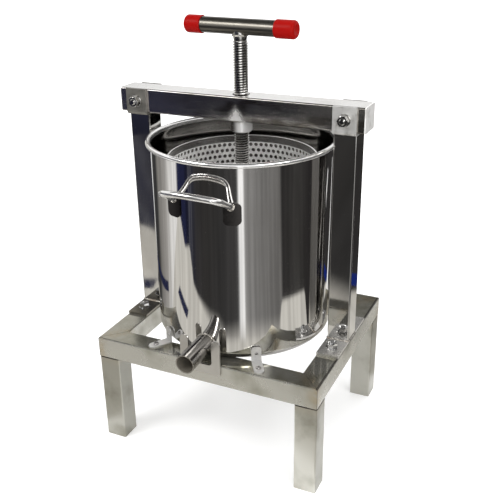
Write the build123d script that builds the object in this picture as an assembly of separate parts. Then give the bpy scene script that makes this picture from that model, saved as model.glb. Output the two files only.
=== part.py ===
from build123d import *
import math
import os

# Fruit press: a square-tube stand carries a pot, a perforated basket and a screw-driven plate.
# Millimetres. +Z is up and the spout points to -Y. Sizes are laid out about the screw's axis.
# The saved pieces are moved back, so that the origin is on the floor midway along the whole depth.

# Square tube shared by the stand and the posts; the beam's tube has the same wall
TUBE = 38.0
TUBE_WALL = 1.5
TUBE_CORNER = 2.5

# Stand
STAND_WIDTH = 402.0
STAND_DEPTH = 338.0
STAND_TOP = 200.0
END_PLATE = 2.0

# Posts, their base plates and the beam that bridges them
BASE_PLATE_LENGTH = 145.0
BASE_PLATE_THICK = 4.0
BASE_BOLT_REACH = 48.0
BEAM_TOP = 603.0
BEAM_LENGTH = 428.0
BEAM_HEIGHT = 40.0
BEAM_DEPTH = 45.0
SADDLE_THICK = 4.0
SADDLE_PLAY = 0.3
SADDLE_BEND = 2.0
SCREW_PORT = 28.0

# M10 hexagon fasteners and M5 pan-head screws
BOLT = 10.0
BOLT_HOLE = 10.8
HEX_FLATS = 16.0
HEAD_HEIGHT = 6.4
NUT_HEIGHT = 8.4
NUT_BORE = 10.2
WASHER = 20.0
WASHER_THICK = 2.0
BOLT_TAIL = 3.0
CLIP_SCREW = 5.0
CLIP_HEAD = 9.0
CLIP_HEAD_HEIGHT = 3.0
CLIP_SCREW_LENGTH = 10.0

# Pot
POT_RADIUS = 151.0
POT_WALL = 1.2
POT_HEIGHT = 335.0
POT_CORNER = 15.0
RIM_BEAD = 4.0

# Spout and the fork that straddles it
SPOUT_DIAMETER = 32.0
SPOUT_WALL = 1.5
SPOUT_HEIGHT = 26.0
SPOUT_REACH = 70.0
SPOUT_TILT = 1.0
FORK_THICK = 3.0
FORK_WIDTH = 72.0
FORK_GAP = 42.0
FORK_TOP = 246.0
FORK_BOTTOM = 184.0
FORK_SEAT = 199.0
FORK_ROUND = 6.0

# Pot handles
HANDLE_ROD = 10.0
HANDLE_HALF = 49.0
HANDLE_REACH = 46.0
HANDLE_BEND = 20.0
HANDLE_BOW = 12.0
HANDLE_RISE = 28.0
HANDLE_FOOT = 266.0
PAD_WIDTH = 26.0
PAD_HEIGHT = 36.0
PAD_THICK = 2.0
PAD_ROUND = 8.0
PAD_DROP = 11.0
PAD_HALF = 50.0

# Clips that keep the pot in place on the front and back rails
CLIP_ANGLE = 32.0
CLIP_WIDTH = 16.4
CLIP_THICK = 2.0
CLIP_GAP = 2.0
CLIP_FOOT = 39.0
CLIP_UPRIGHT = 26.0
CLIP_HOLE = 6.0
CLIP_HOLE_HEIGHT = 14.0
CLIP_SCREW_OUT = 26.0
CLIP_NOSE = 5.0

# Perforated basket inside the pot
BASKET_RADIUS = 121.5
BASKET_WALL = 1.2
BASKET_RIM = 503.0
HOOP_WIRE = 4.0
BASKET_FLOOR = 1.5
FLOOR_HOLE = 5.0
FLOOR_PITCH = 14.0
FLOOR_MARGIN = 8.0

# Screw, its nut, the turning bar and the press plate
SCREW_DIAMETER = 24.0
RUNNING_GAP = 0.1
NUT_COLLAR = 36.0
NUT_DROP = 19.5
NUT_CHAMFER = 1.5
NUT_SPIGOT = 30.0
NUT_SPIGOT_RISE = 18.0
BAR_AXIS = 707.5
BAR_DIAMETER = 25.0
BAR_WALL = 2.0
BAR_HALF = 96.0
BAR_TURN = -5.0
NECK_DIAMETER = 22.0
NECK_LENGTH = 14.0
CAP_WALL = 1.75
CAP_END = 2.0
CAP_LEFT = 30.0
CAP_RIGHT = 34.0
CAP_ROUND = 3.0
PLATE_RADIUS = 116.0
PLATE_THICK = 5.0
PLATE_EDGE = 1.0
PLATE_UNDERSIDE = 305.0
HUB_DIAMETER = 38.0
HUB_HEIGHT = 32.0
HUB_FLOOR = 4.0
GROOVE_DIAMETER = 19.0
GROOVE_WIDTH = 8.0
SET_SCREW = 6.0
SET_SCREW_HEIGHT = 18.0
SET_SCREW_GAP = 0.5
END_GAP = 0.2

# Worked out from the sizes above
RAIL_BOTTOM = STAND_TOP - TUBE
POST_X = (STAND_WIDTH - TUBE) / 2
POST_BOTTOM = STAND_TOP + BASE_PLATE_THICK
BEAM_BOTTOM = BEAM_TOP - BEAM_HEIGHT
BEAM_MIDDLE = BEAM_TOP - BEAM_HEIGHT / 2
POST_TOP = BEAM_BOTTOM - SADDLE_THICK
SADDLE_INSIDE = BEAM_DEPTH + 2 * SADDLE_PLAY
SADDLE_FACE = SADDLE_INSIDE / 2 + SADDLE_THICK
POT_INSIDE = POT_RADIUS - POT_WALL
POT_FLOOR = STAND_TOP + POT_WALL
BASKET_INSIDE = BASKET_RADIUS - BASKET_WALL
HUB_BOTTOM = PLATE_UNDERSIDE + PLATE_THICK
SCREW_BOTTOM = HUB_BOTTOM + HUB_FLOOR + END_GAP
BAR_UNDERSIDE = BAR_AXIS - BAR_DIAMETER / 2
CLIP_INNER = POT_RADIUS + CLIP_GAP
SPOUT_FRONT = POT_RADIUS + SPOUT_REACH + math.sin(math.radians(SPOUT_TILT)) * SPOUT_DIAMETER / 2
HANDLE_BACK = POT_RADIUS + HANDLE_REACH + HANDLE_ROD / 2
FRAME_SHIFT = (SPOUT_FRONT - HANDLE_BACK) / 2
SIDES = {"left": -1, "right": 1}
ENDS = {"front": -1, "back": 1}
CLIP_TURNS = [CLIP_ANGLE, -CLIP_ANGLE, 180 - CLIP_ANGLE, 180 + CLIP_ANGLE]


def tube_up(length, wide=TUBE, deep=TUBE):
    """Tube standing on the origin along +Z, square unless it is given a width and a depth."""
    outside = RectangleRounded(wide, deep, TUBE_CORNER)
    inside = RectangleRounded(wide - 2 * TUBE_WALL, deep - 2 * TUBE_WALL, TUBE_CORNER - TUBE_WALL)
    return extrude(outside - inside, length)


def tube_plate(thickness, wide=TUBE, deep=TUBE):
    """Flat plate with a tube's outline, standing on the origin."""
    return extrude(RectangleRounded(wide, deep, TUBE_CORNER), thickness)


def drum(diameter, low, high):
    """Upright solid cylinder on the Z axis between two heights."""
    return Pos(0, 0, low) * Cylinder(
        diameter / 2, high - low, align=(Align.CENTER, Align.CENTER, Align.MIN))


def ring(outer, inner, low, high):
    """Upright round sleeve on the Z axis between two heights."""
    return drum(outer, low, high) - drum(inner, low, high)


def hexagon(low, high):
    """Hexagonal prism on the Z axis between two heights."""
    prism = extrude(RegularPolygon(HEX_FLATS / 2, 6, major_radius=False), high - low)
    return Pos(0, 0, low) * prism


def bolt_along_z(under_head, tip):
    """Hexagon bolt with its head below and its shank pointing up to the tip."""
    return hexagon(under_head - HEAD_HEIGHT, under_head) + drum(BOLT, under_head, tip)


def nut_along_z(low):
    """Plain hexagon nut standing on a height."""
    return hexagon(low, low + NUT_HEIGHT) - drum(NUT_BORE, low, low + NUT_HEIGHT)


def washer_along_z(low):
    """Plain washer lying on a height."""
    return ring(WASHER, NUT_BORE, low, low + WASHER_THICK)


def write(name, shape):
    """Save one named piece, with a group of pieces kept as separate solids."""
    export_step(Pos(0, FRAME_SHIFT, 0) * shape, os.path.join("parts", name + ".step"))


# Stand: four mitred rails, four legs and the plates that close the legs
def clip_screw_spots():
    """Places of the clip screws on the rails."""
    out = CLIP_INNER + CLIP_SCREW_OUT
    return [Rot(0, 0, turn) * Pos(0, -out, 0) for turn in CLIP_TURNS]


def rail_along_x(end):
    """Front or back rail, mitred at both ends and drilled for the clip screws."""
    length = STAND_WIDTH / 2
    outer = end * STAND_DEPTH / 2
    inner = outer - end * TUBE
    middle = outer - end * TUBE / 2
    bar = Pos(-length, middle, STAND_TOP - TUBE / 2) * Rot(0, 90, 0) * tube_up(STAND_WIDTH)
    plan = make_face(Polyline(
        (-length, outer), (length, outer), (length - TUBE, inner), (TUBE - length, inner), close=True))
    rail = bar & Pos(0, 0, RAIL_BOTTOM) * extrude(plan, TUBE, dir=(0, 0, 1))
    for spot in clip_screw_spots():
        rail -= spot * drum(CLIP_SCREW + RUNNING_GAP, STAND_TOP - TUBE / 2, STAND_TOP)
    return rail


def rail_along_y(side):
    """Left or right rail, mitred at both ends and drilled through for the post's bolts."""
    length = STAND_DEPTH / 2
    outer = side * STAND_WIDTH / 2
    inner = outer - side * TUBE
    bar = Pos(side * POST_X, -length, STAND_TOP - TUBE / 2) * Rot(-90, 0, 0) * tube_up(STAND_DEPTH)
    plan = make_face(Polyline(
        (outer, -length), (outer, length), (inner, length - TUBE), (inner, TUBE - length), close=True))
    rail = bar & Pos(0, 0, RAIL_BOTTOM) * extrude(plan, TUBE, dir=(0, 0, 1))
    for end in ENDS.values():
        rail -= Pos(side * POST_X, end * BASE_BOLT_REACH) * drum(BOLT_HOLE, RAIL_BOTTOM, STAND_TOP)
    return rail


def leg_spots():
    """Names and places of the four legs."""
    reach = (STAND_DEPTH - TUBE) / 2
    return {f"{end_name}_{side_name}": Pos(side * POST_X, end * reach)
            for end_name, end in ENDS.items() for side_name, side in SIDES.items()}


def save_stand():
    """Rails, legs and leg end plates."""
    for name, end in ENDS.items():
        write(f"{name}_rail", rail_along_x(end))
    for name, side in SIDES.items():
        write(f"{name}_rail", rail_along_y(side))
    for name, spot in leg_spots().items():
        write(f"{name}_leg", spot * Pos(0, 0, END_PLATE) * tube_up(RAIL_BOTTOM - END_PLATE))
    write("leg_end_plates", Compound([spot * tube_plate(END_PLATE) for spot in leg_spots().values()]))


# Posts: base plates bolted to the side rails, and saddles that hold the beam
def base_bolt_spots():
    """Places of the four bolts that hold the posts' base plates."""
    return [Pos(side * POST_X, end * BASE_BOLT_REACH) for side in SIDES.values() for end in ENDS.values()]


def base_plate(side):
    """Flat plate under a post, drilled in front of the post and behind it."""
    plate = Pos(side * POST_X, 0, STAND_TOP) * extrude(Rectangle(TUBE, BASE_PLATE_LENGTH), BASE_PLATE_THICK)
    for end in ENDS.values():
        plate -= Pos(side * POST_X, end * BASE_BOLT_REACH) * drum(BOLT_HOLE, STAND_TOP, POST_BOTTOM)
    return plate


def saddle(side):
    """Folded channel on a post's top, open upwards, with its bolt holes through both cheeks."""
    height = BEAM_TOP - POST_TOP
    bend = SADDLE_BEND + SADDLE_THICK
    cheek = SADDLE_FACE
    outside = Pos(0, height / 2) * Rectangle(2 * cheek, height)
    outside = fillet(outside.vertices().sort_by(Axis.Y)[:2], bend)
    hollow = Pos(0, SADDLE_THICK + height / 2) * Rectangle(SADDLE_INSIDE, height)
    hollow = fillet(hollow.vertices().sort_by(Axis.Y)[:2], SADDLE_BEND)
    section = Plane.YZ * (outside - hollow)
    channel = Pos(side * POST_X - TUBE / 2, 0, POST_TOP) * extrude(section, TUBE, dir=(1, 0, 0))
    return channel - cross_bolt_spot(side) * drum(BOLT_HOLE, -BEAM_DEPTH, BEAM_DEPTH)


def cross_bolt_spot(side):
    """Place of a beam bolt, with local +Z pointing to the front."""
    return Pos(side * POST_X, 0, BEAM_MIDDLE) * Rot(90, 0, 0)


def save_posts():
    """Posts, base plates, saddles and the bolts at both levels."""
    for name, side in SIDES.items():
        write(f"{name}_post", Pos(side * POST_X, 0, POST_BOTTOM) * tube_up(POST_TOP - POST_BOTTOM))
        write(f"{name}_base_plate", base_plate(side))
        write(f"{name}_saddle", saddle(side))
    tip = POST_BOTTOM + WASHER_THICK + NUT_HEIGHT + BOLT_TAIL
    spots = base_bolt_spots()
    write("base_bolts", Compound([spot * bolt_along_z(RAIL_BOTTOM, tip) for spot in spots]))
    write("base_washers", Compound([spot * washer_along_z(POST_BOTTOM) for spot in spots]))
    write("base_nuts", Compound([spot * nut_along_z(POST_BOTTOM + WASHER_THICK) for spot in spots]))
    far = SADDLE_FACE + WASHER_THICK
    spots = [cross_bolt_spot(side) for side in SIDES.values()]
    write("saddle_bolts", Compound([spot * bolt_along_z(-far, far + NUT_HEIGHT + BOLT_TAIL) for spot in spots]))
    write("saddle_washers", Compound(
        [spot * washer_along_z(low) for spot in spots for low in (-far, SADDLE_FACE)]))
    write("saddle_nuts", Compound([spot * nut_along_z(far) for spot in spots]))


# Beam: tube, end plates and the screw's nut
def crossbeam():
    """Tube across the posts, drilled for its two bolts, the screw above and the nut below."""
    length = BEAM_LENGTH - 2 * END_PLATE
    beam = Pos(-length / 2, 0, BEAM_MIDDLE) * Rot(0, 90, 0) * tube_up(length, BEAM_HEIGHT, BEAM_DEPTH)
    beam -= drum(SCREW_PORT, BEAM_MIDDLE, BEAM_TOP)
    beam -= drum(NUT_SPIGOT, BEAM_BOTTOM, BEAM_MIDDLE)
    for side in SIDES.values():
        beam -= cross_bolt_spot(side) * drum(BOLT_HOLE, -BEAM_DEPTH, BEAM_DEPTH)
    return beam


def screw_nut():
    """Round nut: a collar under the beam and a spigot up through its lower wall."""
    collar = drum(NUT_COLLAR, BEAM_BOTTOM - NUT_DROP, BEAM_BOTTOM)
    spigot = drum(NUT_SPIGOT, BEAM_BOTTOM, BEAM_BOTTOM + NUT_SPIGOT_RISE)
    rims = collar.edges().filter_by(GeomType.CIRCLE).sort_by(Axis.Z)[:1]
    nut = chamfer(rims, NUT_CHAMFER) + spigot
    bore = SCREW_DIAMETER + 2 * RUNNING_GAP
    return nut - drum(bore, BEAM_BOTTOM - NUT_DROP, BEAM_BOTTOM + NUT_SPIGOT_RISE)


def save_beam():
    """Beam, its end plates and the nut."""
    write("crossbeam", crossbeam())
    start = BEAM_LENGTH / 2 - END_PLATE
    for name, turn in (("left", -90), ("right", 90)):
        plate = Pos(0, 0, start) * tube_plate(END_PLATE, BEAM_HEIGHT, BEAM_DEPTH)
        write(f"{name}_beam_end_plate", Pos(0, 0, BEAM_MIDDLE) * Rot(0, turn, 0) * plate)
    write("screw_nut", screw_nut())


# Pot: drawn body with a rolled rim, welded spout and two bent handles
def spout_plane():
    """Frame at the pot's wall with its Z axis along the spout, outwards and a little down."""
    tilt = math.radians(SPOUT_TILT)
    return Plane(
        origin=(0, -POT_RADIUS, STAND_TOP + SPOUT_HEIGHT), x_dir=(1, 0, 0),
        z_dir=(0, -math.cos(tilt), -math.sin(tilt)))


def pot_cup(radius, corner, low, high):
    """Solid of revolution with a rounded lower edge, standing between two heights."""
    block = drum(2 * radius, low, high)
    return fillet(block.edges().filter_by(GeomType.CIRCLE).sort_by(Axis.Z)[:1], corner)


def pot():
    """Open cup with a rounded foot, a rolled rim and the spout's hole."""
    rim_middle = STAND_TOP + POT_HEIGHT - RIM_BEAD
    cup = pot_cup(POT_RADIUS, POT_CORNER, STAND_TOP, rim_middle)
    cup -= pot_cup(POT_INSIDE, POT_CORNER - POT_WALL, POT_FLOOR, rim_middle + TUBE)
    bead = Pos(0, 0, rim_middle) * Torus(POT_INSIDE + RIM_BEAD, RIM_BEAD)
    hole = spout_plane() * Cylinder(SPOUT_DIAMETER / 2, 2 * SPOUT_DIAMETER)
    return cup + bead - hole


def spout():
    """Straight tube from the pot's inner wall, tipped down towards its open end."""
    reach = SPOUT_REACH / math.cos(math.radians(SPOUT_TILT))
    start = -SPOUT_DIAMETER
    tube = Pos(0, 0, start) * ring(SPOUT_DIAMETER, SPOUT_DIAMETER - 2 * SPOUT_WALL, 0, reach - start)
    return spout_plane() * tube - drum(2 * POT_INSIDE, 0, BEAM_TOP)


def handle_path(reach):
    """Flat loop from the origin's line out to a reach: two straight legs, two bends and a bowed grip."""
    grip = (HANDLE_HALF ** 2 + HANDLE_BOW ** 2) / (2 * HANDLE_BOW)
    middle = reach - grip
    inside = grip - HANDLE_BEND
    across = HANDLE_HALF - HANDLE_BEND
    along = math.sqrt(inside ** 2 - across ** 2)
    bend = (HANDLE_HALF, middle + along)
    meet = (across * grip / inside, middle + along * grip / inside)
    edges = [ThreePointArc((-meet[0], meet[1]), (0, reach), meet)]
    for side in SIDES.values():
        start = (side * bend[0], bend[1])
        edges.append(Line((side * HANDLE_HALF, 0), start))
        edges.append(TangentArc(start, (side * meet[0], meet[1]), tangent=(0, 1)))
    return Wire(edges)


def front_handle():
    """Round rod bent to a bowed loop, rising outwards, with its ends coped to the pads."""
    rise = math.radians(HANDLE_RISE)
    root = math.sqrt(POT_RADIUS ** 2 - HANDLE_HALF ** 2)
    lead_in = HANDLE_ROD
    reach = (POT_RADIUS + HANDLE_REACH - root) / math.cos(rise) + lead_in
    path = handle_path(reach)
    section = Plane(origin=path @ 0, z_dir=path % 0) * Circle(HANDLE_ROD / 2)
    rod = sweep(section, path=path)
    foot = Pos(0, lead_in * math.cos(rise) - root, STAND_TOP + HANDLE_FOOT - lead_in * math.sin(rise))
    loop = foot * Rot(180 - HANDLE_RISE, 0, 0) * rod
    return loop - drum(2 * (POT_RADIUS + PAD_THICK), STAND_TOP, BEAM_TOP)


def front_handle_pads():
    """Two rounded pads rolled to the pot's wall, one under each end of the handle."""
    shell = ring(2 * (POT_RADIUS + PAD_THICK), 2 * POT_RADIUS, STAND_TOP, BEAM_TOP)
    outline = Plane.XZ * RectangleRounded(PAD_WIDTH, PAD_HEIGHT, PAD_ROUND)
    pads = []
    for side in SIDES.values():
        spot = Pos(side * PAD_HALF, 0, STAND_TOP + HANDLE_FOOT - PAD_DROP)
        pads.append(shell & spot * extrude(outline, 2 * POT_RADIUS, dir=(0, -1, 0)))
    return Compound(pads)


def save_pot():
    """Pot, spout, handles and pads."""
    write("pot", pot())
    write("spout", spout())
    for name, turn in (("front", 0), ("back", 180)):
        write(f"{name}_handle", Rot(0, 0, turn) * front_handle())
        write(f"{name}_handle_pads", Rot(0, 0, turn) * front_handle_pads())


# Fork and clips: what keeps the pot from turning and sliding on the rails
def spout_fork():
    """Flat fork on the front rail's face, with a prong on each side of the spout."""
    height = FORK_TOP - FORK_BOTTOM
    prong = (FORK_WIDTH - FORK_GAP) / 2
    blank = Pos(0, FORK_BOTTOM + height / 2) * Rectangle(FORK_WIDTH, height)
    blank = fillet(blank.vertices().sort_by(Axis.Y)[2:], prong / 2 - RUNNING_GAP)
    slot_height = 2 * (FORK_TOP - FORK_SEAT)
    slot = Pos(0, FORK_TOP) * Rectangle(FORK_GAP, slot_height)
    slot = fillet(slot.vertices().sort_by(Axis.Y)[:2], FORK_ROUND)
    outline = blank - slot
    tips = outline.vertices().filter_by(lambda v: abs(v.X) == FORK_GAP / 2 and v.Y > FORK_TOP - 1)
    outline = fillet(tips, prong / 2 - RUNNING_GAP)
    return Pos(0, -STAND_DEPTH / 2, 0) * extrude(Plane.XZ * outline, FORK_THICK, dir=(0, -1, 0))


def pot_clip():
    """Bent strip on the front rail, with a pointed foot and an upright leaf close to the pot."""
    foot = Rectangle(CLIP_WIDTH, CLIP_FOOT, align=(Align.CENTER, Align.MAX))
    foot = chamfer(foot.vertices().sort_by(Axis.Y)[:2], CLIP_NOSE)
    leaf = Rectangle(CLIP_WIDTH, CLIP_UPRIGHT, align=(Align.CENTER, Align.MIN))
    leaf = fillet(leaf.vertices().sort_by(Axis.Y)[2:], CLIP_NOSE)
    leaf -= Pos(0, CLIP_HOLE_HEIGHT) * Circle(CLIP_HOLE / 2)
    clip = extrude(foot, CLIP_THICK) + extrude(Plane.XZ * leaf, CLIP_THICK, dir=(0, -1, 0))
    clip -= Pos(0, -CLIP_SCREW_OUT) * drum(CLIP_SCREW + RUNNING_GAP, 0, CLIP_THICK)
    return Pos(0, -CLIP_INNER, STAND_TOP) * clip


def clip_screw():
    """Pan-head screw standing head up on the origin."""
    head = drum(CLIP_HEAD, 0, CLIP_HEAD_HEIGHT)
    head = fillet(head.edges().filter_by(GeomType.CIRCLE).sort_by(Axis.Z)[-1:], CLIP_HEAD_HEIGHT / 2)
    return head + drum(CLIP_SCREW, -CLIP_SCREW_LENGTH, 0)


def save_locators():
    """Fork, clips and clip screws."""
    write("spout_fork", spout_fork())
    write("pot_clips", Compound([Rot(0, 0, turn) * pot_clip() for turn in CLIP_TURNS]))
    seat = Pos(0, 0, STAND_TOP + CLIP_THICK)
    write("clip_screws", Compound([spot * seat * clip_screw() for spot in clip_screw_spots()]))


# Basket: rolled wall, wire hoop round its top edge and a drilled floor
def basket_floor():
    """Round floor with a hexagonal field of drain holes."""
    disc = Circle(BASKET_INSIDE)
    field = BASKET_INSIDE - FLOOR_MARGIN
    rows = int(field / (FLOOR_PITCH * math.sqrt(3) / 2))
    spots = []
    for row in range(-rows, rows + 1):
        y = row * FLOOR_PITCH * math.sqrt(3) / 2
        columns = int(2 * field / FLOOR_PITCH)
        for column in range(-columns, columns + 1):
            x = (column + (row % 2) / 2) * FLOOR_PITCH
            if math.hypot(x, y) <= field:
                spots.append((x, y))
    disc -= Sketch() + [Pos(*spot) * Circle(FLOOR_HOLE / 2) for spot in spots]
    return Pos(0, 0, POT_FLOOR) * extrude(disc, BASKET_FLOOR)


def save_basket():
    """Basket wall, hoop and floor."""
    hoop_middle = BASKET_RIM - HOOP_WIRE / 2
    write("basket_wall", ring(2 * BASKET_RADIUS, 2 * BASKET_INSIDE, POT_FLOOR, BASKET_RIM))
    hoop = Pos(0, 0, hoop_middle) * Torus(BASKET_RADIUS + HOOP_WIRE / 2, HOOP_WIRE / 2)
    write("basket_hoop", hoop)
    write("basket_floor", basket_floor())


# Screw: threaded bar, turning bar with caps, and the plate that it drives
def bar_place():
    """Middle of the turning bar, turned a little from the beam's direction."""
    return Pos(0, 0, BAR_AXIS) * Rot(0, 0, BAR_TURN)


def press_screw():
    """Round bar at the thread's outer size, grooved at the foot and coped to the turning bar."""
    body = drum(SCREW_DIAMETER, SCREW_BOTTOM, BAR_UNDERSIDE - NECK_LENGTH)
    neck = drum(NECK_DIAMETER, BAR_UNDERSIDE - NECK_LENGTH, BAR_AXIS)
    groove_middle = HUB_BOTTOM + SET_SCREW_HEIGHT
    groove = ring(
        2 * SCREW_DIAMETER, GROOVE_DIAMETER, groove_middle - GROOVE_WIDTH / 2, groove_middle + GROOVE_WIDTH / 2)
    bar = bar_place() * Rot(0, 90, 0) * Cylinder(BAR_DIAMETER / 2, 2 * BAR_HALF)
    return body + neck - groove - bar


def turning_bar():
    """Plain tube across the screw's top."""
    tube = ring(BAR_DIAMETER, BAR_DIAMETER - 2 * BAR_WALL, -BAR_HALF, BAR_HALF)
    return bar_place() * Rot(0, 90, 0) * tube


def grip_cap(turn, length):
    """Soft cap pushed over an end of the turning bar."""
    outer = drum(BAR_DIAMETER + 2 * CAP_WALL, BAR_HALF + CAP_END - length, BAR_HALF + CAP_END)
    outer = fillet(outer.edges().filter_by(GeomType.CIRCLE).sort_by(Axis.Z)[-1:], CAP_ROUND)
    sleeve = outer - drum(BAR_DIAMETER, 0, BAR_HALF)
    return bar_place() * Rot(0, turn, 0) * sleeve


def set_screw_spots():
    """Places of the two set screws, with local +Z pointing out of the hub."""
    height = Pos(0, 0, HUB_BOTTOM + SET_SCREW_HEIGHT)
    return [height * Rot(0, turn, 0) for turn in (-90, 90)]


def plate_hub():
    """Round socket on the plate that takes the screw's foot."""
    hub = drum(HUB_DIAMETER, HUB_BOTTOM, HUB_BOTTOM + HUB_HEIGHT)
    hub -= drum(SCREW_DIAMETER + 2 * RUNNING_GAP, HUB_BOTTOM + HUB_FLOOR, HUB_BOTTOM + HUB_HEIGHT)
    for spot in set_screw_spots():
        hub -= spot * drum(SET_SCREW, 0, HUB_DIAMETER)
    return hub


def save_drive():
    """Screw, turning bar, caps, plate, hub and set screws."""
    write("press_screw", press_screw())
    write("turning_bar", turning_bar())
    write("left_grip_cap", grip_cap(-90, CAP_LEFT))
    write("right_grip_cap", grip_cap(90, CAP_RIGHT))
    plate = drum(2 * PLATE_RADIUS, PLATE_UNDERSIDE, HUB_BOTTOM)
    write("press_plate", fillet(plate.edges().filter_by(GeomType.CIRCLE), PLATE_EDGE))
    write("plate_hub", plate_hub())
    tip = GROOVE_DIAMETER / 2 + SET_SCREW_GAP
    write("hub_set_screws", Compound(
        [spot * drum(SET_SCREW, tip, HUB_DIAMETER / 2) for spot in set_screw_spots()]))


os.makedirs("parts", exist_ok=True)
save_stand()
save_posts()
save_beam()
save_pot()
save_locators()
save_basket()
save_drive()
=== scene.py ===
"""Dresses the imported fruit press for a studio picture: finishes, threads, holes, welds and caps."""

import logging
import math
from contextlib import contextmanager
from dataclasses import dataclass, replace
from enum import Enum
from functools import cache
from typing import Iterator, Mapping, Self, Sequence

import bpy
from mathutils import Matrix, Vector


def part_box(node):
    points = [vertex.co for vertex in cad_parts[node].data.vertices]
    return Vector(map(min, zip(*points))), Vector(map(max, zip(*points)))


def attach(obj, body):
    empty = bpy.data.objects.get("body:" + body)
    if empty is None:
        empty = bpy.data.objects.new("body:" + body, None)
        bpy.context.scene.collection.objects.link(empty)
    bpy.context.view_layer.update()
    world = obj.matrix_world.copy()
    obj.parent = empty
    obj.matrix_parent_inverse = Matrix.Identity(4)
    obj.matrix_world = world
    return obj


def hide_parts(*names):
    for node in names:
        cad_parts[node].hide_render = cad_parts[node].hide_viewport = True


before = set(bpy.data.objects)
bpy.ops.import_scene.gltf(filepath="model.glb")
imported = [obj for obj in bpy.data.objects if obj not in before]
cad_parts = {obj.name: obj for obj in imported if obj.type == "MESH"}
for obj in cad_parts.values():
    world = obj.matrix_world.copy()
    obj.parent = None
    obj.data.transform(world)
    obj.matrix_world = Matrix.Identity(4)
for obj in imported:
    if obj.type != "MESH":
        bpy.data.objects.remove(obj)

log = logging.getLogger("fruit_press")
MM = 0.001
FULL_TURN = 2 * math.pi
MERGE_GAP = 0.002 * MM
THREAD_GAP = 0.005 * MM
THREAD_SHARP = 25.0
FACING_FADE = (0.85, 0.98, 0.0, 1.0)
UP = (0.0, 0.0, 1.0)
FRONT = (0.0, -1.0, 0.0)
SPOUT_TILT = 1.0
VIEW_TURN = 25.3

Point = tuple[float, float]
Triple = tuple[float, float, float]
Colour = tuple[float, float, float]
Fade = tuple[float, float, float, float]
Noise = tuple[float, float]
Tones = tuple[tuple[float, Colour], ...]
Piece = bpy.types.Object
Socket = bpy.types.NodeSocket


class Body(Enum):
    """Rigid bodies that the new pieces ride on."""

    FRAME = "frame"
    SCREW = "screw"


class Slot(Enum):
    """Material slots of the record."""

    SATIN = "satin_steel"
    POLISHED = "polished_steel"
    BRIGHT = "bright_fasteners"
    VINYL = "red_vinyl"


class Grain(Enum):
    """Direction of the grinding marks, as the stretch of the noise that draws them."""

    ALONG_X = (6.0, 420.0, 420.0)
    ALONG_Y = (420.0, 6.0, 420.0)
    ALONG_Z = (420.0, 420.0, 6.0)
    AROUND_Z = (14.0, 14.0, 700.0)
    EVEN = (160.0, 160.0, 160.0)
    SOFT = (24.0, 24.0, 24.0)


# Frame helpers


def middle(node: str) -> Vector:
    """Centre of a CAD node's box."""
    low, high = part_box(node)
    return (low + high) / 2


def span(node: str) -> Vector:
    """Size of a CAD node's box."""
    low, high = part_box(node)
    return high - low


AXIS = middle("press_screw")
FROM_AXIS = (-AXIS.x, -AXIS.y, 0.0)


def on_axis(height: float) -> Vector:
    """A point on the screw's axis."""
    return Vector((AXIS.x, AXIS.y, height))


# Modelling helpers


def clear_selection() -> None:
    """Leaves nothing selected, so that the next operator acts on the new piece alone."""
    bpy.ops.object.select_all(action="DESELECT")


def make_active(piece: Piece) -> None:
    """Selects one piece alone and makes it the active one.

    Args:
        piece: the piece that the next operator acts on.
    """
    clear_selection()
    piece.select_set(True)
    bpy.context.view_layer.objects.active = piece


@contextmanager
def editing(piece: Piece, everything: bool = True) -> Iterator[None]:
    """Keeps a piece in edit mode for a with block.

    Args:
        piece: the mesh to edit.
        everything: whether all of it is selected first.
    """
    make_active(piece)
    bpy.ops.object.mode_set(mode="EDIT")
    if everything:
        bpy.ops.mesh.select_all(action="SELECT")
    try:
        yield
    finally:
        bpy.ops.object.mode_set(mode="OBJECT")


def named(piece: Piece, name: str) -> Piece:
    """Names a piece and its mesh."""
    piece.name = piece.data.name = name
    return piece


def new_piece(name: str) -> Piece:
    """Names the primitive that was added last."""
    return named(bpy.context.active_object, name)


def settle(piece: Piece) -> Piece:
    """Moves a piece's place, turn and scale into its mesh.

    Args:
        piece: the piece, placed as it should stay.

    Returns:
        The same piece, with its object at the origin.
    """
    make_active(piece)
    bpy.ops.object.transform_apply(location=True, rotation=True, scale=True)
    return piece


def put(piece: Piece, place: Vector, along: Triple | Vector = UP) -> Piece:
    """Stands a piece that was made about the Z axis at a place, along a direction.

    Args:
        piece: the piece, made about the origin.
        place: where its origin goes.
        along: where its Z axis points.

    Returns:
        The same piece, with the place in its mesh.
    """
    piece.rotation_mode = "QUATERNION"
    piece.rotation_quaternion = Vector(UP).rotation_difference(Vector(along).normalized())
    piece.location = place
    return settle(piece)


def finish_mesh(piece: Piece) -> Piece:
    """Merges doubled points and turns every face outwards.

    Args:
        piece: a closed mesh.

    Returns:
        The same piece.
    """
    with editing(piece):
        bpy.ops.mesh.remove_doubles(threshold=MERGE_GAP)
        bpy.ops.mesh.normals_make_consistent(inside=False)
    return piece


def smooth(piece: Piece, degrees: float = 32.0) -> Piece:
    """Shades a piece smoothly, with its sharper edges kept.

    Args:
        piece: the piece to shade.
        degrees: edges sharper than this stay sharp.

    Returns:
        The same piece.
    """
    make_active(piece)
    bpy.ops.object.shade_smooth_by_angle(angle=math.radians(degrees))
    return piece


def apply_modifier(piece: Piece, kind: str, **settings: object) -> None:
    """Adds a modifier to a piece and applies it.

    Args:
        piece: the piece to change.
        kind: the modifier's type.
        settings: the modifier's values by name.
    """
    make_active(piece)
    modifier = piece.modifiers.new(kind.lower(), kind)
    for key, value in settings.items():
        setattr(modifier, key, value)
    bpy.ops.object.modifier_apply(modifier=modifier.name)


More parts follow.
